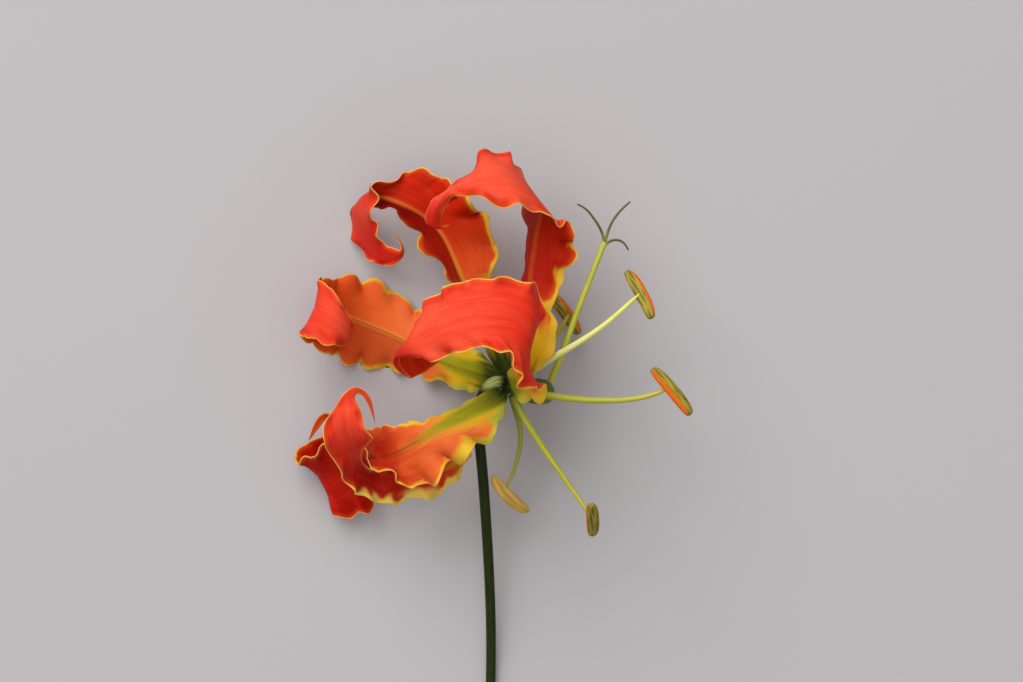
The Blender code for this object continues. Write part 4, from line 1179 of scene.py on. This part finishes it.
def pollen_tree(material):
    """Return the nodes that strew clumps of pollen where the pollen mask is."""
    tree = bpy.data.node_groups.new("Pollen Clumps", "GeometryNodeTree")
    face = tree.interface
    face.new_socket("Geometry", in_out="INPUT", socket_type="NodeSocketGeometry")
    face.new_socket("Density", in_out="INPUT", socket_type=NUMBER)
    face.new_socket("Clump Size", in_out="INPUT", socket_type=NUMBER).subtype = "DISTANCE"
    face.new_socket("Seed", in_out="INPUT", socket_type="NodeSocketInt")
    face.new_socket("Geometry", in_out="OUTPUT", socket_type="NodeSocketGeometry")
    graph = Graph(tree)
    given = tree.nodes.new("NodeGroupInput").outputs
    mask = graph.add("GeometryNodeInputNamedAttribute", {"Name": "pollen"}, data_type="FLOAT").outputs[0]
    place = graph.add("GeometryNodeInputPosition").outputs[0]
    height = graph.add("ShaderNodeSeparateXYZ", {0: place}).outputs[2]
    spread = graph.add(
        "GeometryNodeDistributePointsOnFaces",
        {
            "Mesh": given["Geometry"],
            "Selection": graph.math("GREATER_THAN", height, graph.times(given["Clump Size"], 2.0)),
            "Density": graph.times(given["Density"], graph.math("POWER", mask, 2.0)),
            "Seed": given["Seed"],
        },
    )
    clump = graph.add("GeometryNodeMeshIcoSphere", {"Radius": given["Clump Size"], "Subdivisions": 1})
    grown = graph.add(
        "FunctionNodeRandomValue",
        {"Min": (0.35, 0.35, 0.35), "Max": (1.0, 1.0, 1.0), "Seed": given["Seed"]},
        data_type="FLOAT_VECTOR",
    )
    strewn = graph.add(
        "GeometryNodeInstanceOnPoints",
        {"Points": spread.outputs["Points"], "Instance": clump.outputs["Mesh"], "Scale": grown.outputs[0]},
    )
    real = graph.add("GeometryNodeRealizeInstances", {0: strewn.outputs[0]})
    dressed = graph.add("GeometryNodeSetMaterial", {"Geometry": real.outputs[0], "Material": material})
    tree.links.new(dressed.outputs[0], tree.nodes.new("NodeGroupOutput").inputs[0])
    return tree


def strew_pollen(name, anther, tree, settings, seed):
    """Return a plain mesh of pollen clumps strewn over an anther."""
    holder = bpy.data.objects.new(name, anther.data.copy())
    bpy.context.scene.collection.objects.link(holder)
    modifier = holder.modifiers.new("pollen", "NODES")
    modifier.node_group = tree
    sockets = {item.name: item.identifier for item in tree.interface.items_tree if item.in_out == "INPUT"}
    modifier[sockets["Density"]] = settings.grain_density * SQUARE_CM_IN_SQUARE_M
    modifier[sockets["Clump Size"]] = settings.grain_size / 2.0
    modifier[sockets["Seed"]] = seed
    bpy.context.view_layer.update()
    mesh = bpy.data.meshes.new_from_object(holder.evaluated_get(bpy.context.evaluated_depsgraph_get()))
    holder.modifiers.remove(modifier)
    bpy.data.objects.remove(holder)
    return mesh


def ring_place(angle, forward, radius):
    """Return a place round the flower's axis."""
    turn = math.radians(angle)
    return FACING * forward + radius * (math.cos(turn) * RING_UP + math.sin(turn) * RING_NEAR)


def nearest_place(rings, place):
    """Return the place on a piece's skin nearest the one given."""
    skin = rings.reshape(-1, 3)
    return skin[np.argmin(np.linalg.norm(skin - np.array(place), axis=1))]


def tapered_tip(shares, turns):
    """Narrow a filament to a point over its last stretch, and flatten it a little."""
    tip = 1.0 - 0.55 * ease(0.93, 1.0, shares)
    return tip * (1.0 + 0.05 * np.cos(2.0 * turns) * (1.0 - shares))


def rounded_tip(shares, _turns):
    """Round off a tube's far end."""
    return np.sqrt(1.0 - 0.9 * ease(0.96, 1.0, shares) ** 2)


def stalk_shape(shares, turns):
    """Narrow the stalk a little beyond its bend, and give it faint ridges."""
    waist = 1.0 - 0.10 * bump_of(shares - 0.34, 0.12)
    ridges = 1.0 + 0.018 * np.cos(5.0 * turns + 3.0 * shares) * ease(0.1, 0.3, shares)
    return waist * ridges


class FLOWER_OT_tepals(bpy.types.Operator):
    """Make the six tepals as fine waved sheets"""

    bl_idname = "flower.add_tepals"
    bl_label = "Add Tepals"

    def execute(self, context):
        settings = context.scene.flower
        for number, name in enumerate(TEPAL_RIBS, start=1):
            mesh = closed_loft(*tepal_rings(name, number, settings))
            material = tepal_material(name, number, settings)
            place_piece(name + "_fine", mesh, material, [name])
        return {"FINISHED"}


class FLOWER_OT_stamens(bpy.types.Operator):
    """Make the filaments, the anthers and the pollen on them"""

    bl_idname = "flower.add_stamens"
    bl_label = "Add Stamens"

    def execute(self, context):
        settings = context.scene.flower
        greens = {name: stem_material(name) for name in ("filament", "filament_pale", "filament_dull")}
        pod, bare, dust = anther_material(), bare_anther_material(), pollen_material()
        tree = pollen_tree(dust)
        for seed, (name, plan) in enumerate(STAMENS.items(), start=POLLEN_SEED):
            filament, anther = "filament_" + name, "anther_" + name
            rings, values = anther_rings(*plan["anther"])
            start = ring_place(plan["angle"], FILAMENT_RING_FORWARD, FILAMENT_RING_RADIUS)
            route = (start, *plan["route"][:-1], nearest_place(rings, plan["route"][-1]))
            mesh = closed_loft(*tube_rings(route, plan["radii"], FILAMENT_FACES, tapered_tip))
            green = greens[FILAMENT_GREENS.get(name, "filament")]
            place_piece(filament + "_fine", mesh, green, [filament])
            values["pollen"] = pollen_mask(values, plan["pollen"])
            skin = bare if name == BARE_ANTHER else pod
            piece = place_piece(anther + "_fine", closed_loft(rings, values), skin, [anther])
            if name != BARE_ANTHER:
                grains = strew_pollen("pollen_" + name, piece, tree, settings, seed)
                place_piece("pollen_" + name, grains, dust, [])
        return {"FINISHED"}


def ovary_rings():
    """Return the three-lobed ovary in front of the receptacle."""
    z, wide, turns = ball_angles(*OVARY_FACES)
    wide = wide * OVARY_RADIUS * (0.93 + 0.11 * np.cos(3.0 * turns)) * (1.0 + 0.12 * z)
    furrow = (0.5 - 0.5 * np.cos(3.0 * turns)) ** 6
    seam = (0.5 + 0.5 * np.cos(3.0 * turns)) ** 24
    wide = wide * (0.985 - 0.14 * furrow - 0.03 * seam)
    forward = OVARY_START + OVARY_LENGTH * (z + 1.0) / 2.0
    rings = rings_round_axis(forward[..., None] * OVARY_POINTING, wide, turns)
    return rings, {"along": (z + 1.0) / 2.0, "along_mm": forward, "across_mm": turns * 2.0}


class FLOWER_OT_pistil(bpy.types.Operator):
    """Make the ovary, the style and the stigma's three arms"""

    bl_idname = "flower.add_pistil"
    bl_label = "Add Pistil"

    def execute(self, context):
        pieces = {
            "ovary": (ovary_rings(), stem_material("ovary")),
            "style": (tube_rings(STYLE_ROUTE, STYLE_RADII, STYLE_FACES), stem_material("style")),
        }
        stigma = stem_material("stigma")
        for number, route in enumerate(STIGMA_ROUTES, start=1):
            arm = tube_rings(route, STIGMA_FINE_RADII, STIGMA_FACES, rounded_tip)
            pieces["stigma_arm_%d" % number] = (arm, stigma)
        for name, (loft, material) in pieces.items():
            place_piece(name, closed_loft(*loft), material, ["pistil"])
        return {"FINISHED"}


def stalk_material(settings):
    """Return the stalk's material: dark glossy green, and pale on the nub behind the bloom, partly as a
    painted highlight.
    """
    material, graph, shader = new_material("stalk")
    streaks = graph.streaks({"Streak Scale": 2.4, "Vein Scale": 6.0})
    along = graph.attribute("along_mm")
    lines = streaks["Streaks"]
    dark = graph.mix(graph.ramp(lines, 0.35, 0.7), tuple(settings.stalk_green), STALK_LINES)
    # Painted highlight: the nub's pale greens stand partly for light on its glossy bend.
    pale = graph.mix(graph.ramp(lines, 0.36, 0.66), *NUB_HIGHLIGHT_GREENS)
    nub = graph.times(graph.ramp(along, *NUB_START), graph.fall(along, *NUB_END))
    gloss = graph.ramp(streaks["Veins"], 0.3, 0.7, 0.30, 0.42)
    lumps = graph.math("MULTIPLY_ADD", streaks["Blotches"], graph.times(nub, 6.0), lines)
    graph.fill(
        shader,
        {
            "Base Color": graph.mix(nub, dark, pale),
            "Roughness": graph.math("MULTIPLY_ADD", nub, -0.14, gloss),
            "Normal": graph.bump(lumps, 0.6, 0.0001),
            "IOR": 1.45,
            "Specular IOR Level": 0.15,
        },
    )
    return material


def receptacle_rings():
    """Return the flat knob that carries the tepals."""
    z, wide, turns = ball_angles(*RECEPTACLE_FACES)
    middles = (RECEPTACLE_FLATNESS * z)[..., None] * FACING
    rings = rings_round_axis(middles, wide * (0.96 + 0.04 * np.cos(6.0 * turns)), turns)
    return RECEPTACLE_RADIUS * rings, {"along": 0.0, "along_mm": 0.0, "across_mm": turns}


class FLOWER_OT_stalk(bpy.types.Operator):
    """Make the stalk and the receptacle at its end"""

    bl_idname = "flower.add_stalk"
    bl_label = "Add Stalk"

    def execute(self, context):
        material = stalk_material(context.scene.flower)
        stalk = tube_rings(STALK_ROUTE, STALK_RADII, STALK_FACES, stalk_shape)
        for name, loft in (("stalk_fine", stalk), ("receptacle", receptacle_rings())):
            place_piece(name, closed_loft(*loft), material, ["stalk"])
        return {"FINISHED"}


def floor_material():
    """Return the pale grey of a plain studio table."""
    material, graph, shader = new_material("table")
    cloud = graph.noise(graph.object_place(), 3.0)
    colour = graph.mix(cloud, *TABLE_GREYS)
    graph.fill(shader, {"Base Color": colour, "Roughness": 0.9, "Specular IOR Level": 0.1})
    return material


def link_holder(name, data, place):
    """Add a light or a camera to the scene at a place."""
    holder = bpy.data.objects.new(name, data)
    bpy.context.scene.collection.objects.link(holder)
    holder.location = place
    return holder


def add_light(name, place, size, power, colour):
    """Add a soft square light that shines on the bloom."""
    light = bpy.data.lights.new(name, "AREA")
    light.size = size
    light.energy = power
    light.color = colour
    holder = link_holder(name, light, place)
    holder.rotation_euler = (-holder.location).to_track_quat("-Z", "Y").to_euler()


def add_sky(scene):
    """Light the scene from all round, brighter from above."""
    scene.world = bpy.data.worlds.new("studio")
    scene.world.use_nodes = True
    graph = Graph(scene.world.node_tree)
    direction = graph.add("ShaderNodeTexCoord").outputs["Generated"]
    height = graph.add("ShaderNodeSeparateXYZ", {0: direction}).outputs[2]
    background = scene.world.node_tree.nodes["Background"]
    graph.fill(background, {"Color": SKY_COLOUR, "Strength": graph.ramp(height, -0.1, 0.9, 0.12, 0.52)})


class FLOWER_OT_stage(bpy.types.Operator):
    """Make the table, the lights and the camera over the flower"""

    bl_idname = "flower.add_stage"
    bl_label = "Add Stage"

    def execute(self, context):
        scene = context.scene
        bpy.ops.mesh.primitive_plane_add(size=TABLE_WIDTH)
        floor = context.object
        floor.name = "table"
        floor.data.materials.append(floor_material())
        for name, lamp in LAMPS.items():
            add_light(name, *lamp)
        add_sky(scene)
        camera = bpy.data.cameras.new("camera")
        camera.sensor_width = SENSOR_WIDTH
        camera.lens = SENSOR_WIDTH * CAMERA_HEIGHT / VIEW_WIDTH
        camera.clip_start = 0.01
        scene.camera = link_holder("camera", camera, to_frame(VIEW_MIDDLE + CAMERA_HEIGHT * UP))
        scene.view_settings.view_transform = "Standard"
        return {"FINISHED"}


class FLOWER_PT_panel(bpy.types.Panel):
    """Sizes, colours and pieces of the flame lily"""

    bl_idname = "FLOWER_PT_panel"
    bl_label = "Flame Lily"
    bl_space_type = "VIEW_3D"
    bl_region_type = "UI"
    bl_category = "Flame Lily"

    def draw(self, context):
        column = self.layout.column()
        for name in FlowerSettings.__annotations__:
            column.prop(context.scene.flower, name)
        for operator in OPERATORS:
            column.operator(operator.bl_idname)


OPERATORS = (FLOWER_OT_tepals, FLOWER_OT_stamens, FLOWER_OT_pistil, FLOWER_OT_stalk, FLOWER_OT_stage)


def register():
    """Register the settings, the operators and the panel."""
    for item in (FlowerSettings, *OPERATORS, FLOWER_PT_panel):
        bpy.utils.register_class(item)
    bpy.types.Scene.flower = PointerProperty(type=FlowerSettings)


def unregister():
    """Take them away again."""
    del bpy.types.Scene.flower
    for item in reversed((FlowerSettings, *OPERATORS, FLOWER_PT_panel)):
        bpy.utils.unregister_class(item)


def main():
    """Build the flower."""
    register()
    bpy.ops.flower.add_tepals()
    bpy.ops.flower.add_stamens()
    bpy.ops.flower.add_pistil()
    bpy.ops.flower.add_stalk()
    bpy.ops.flower.add_stage()


if __name__ == "__main__":
    main()
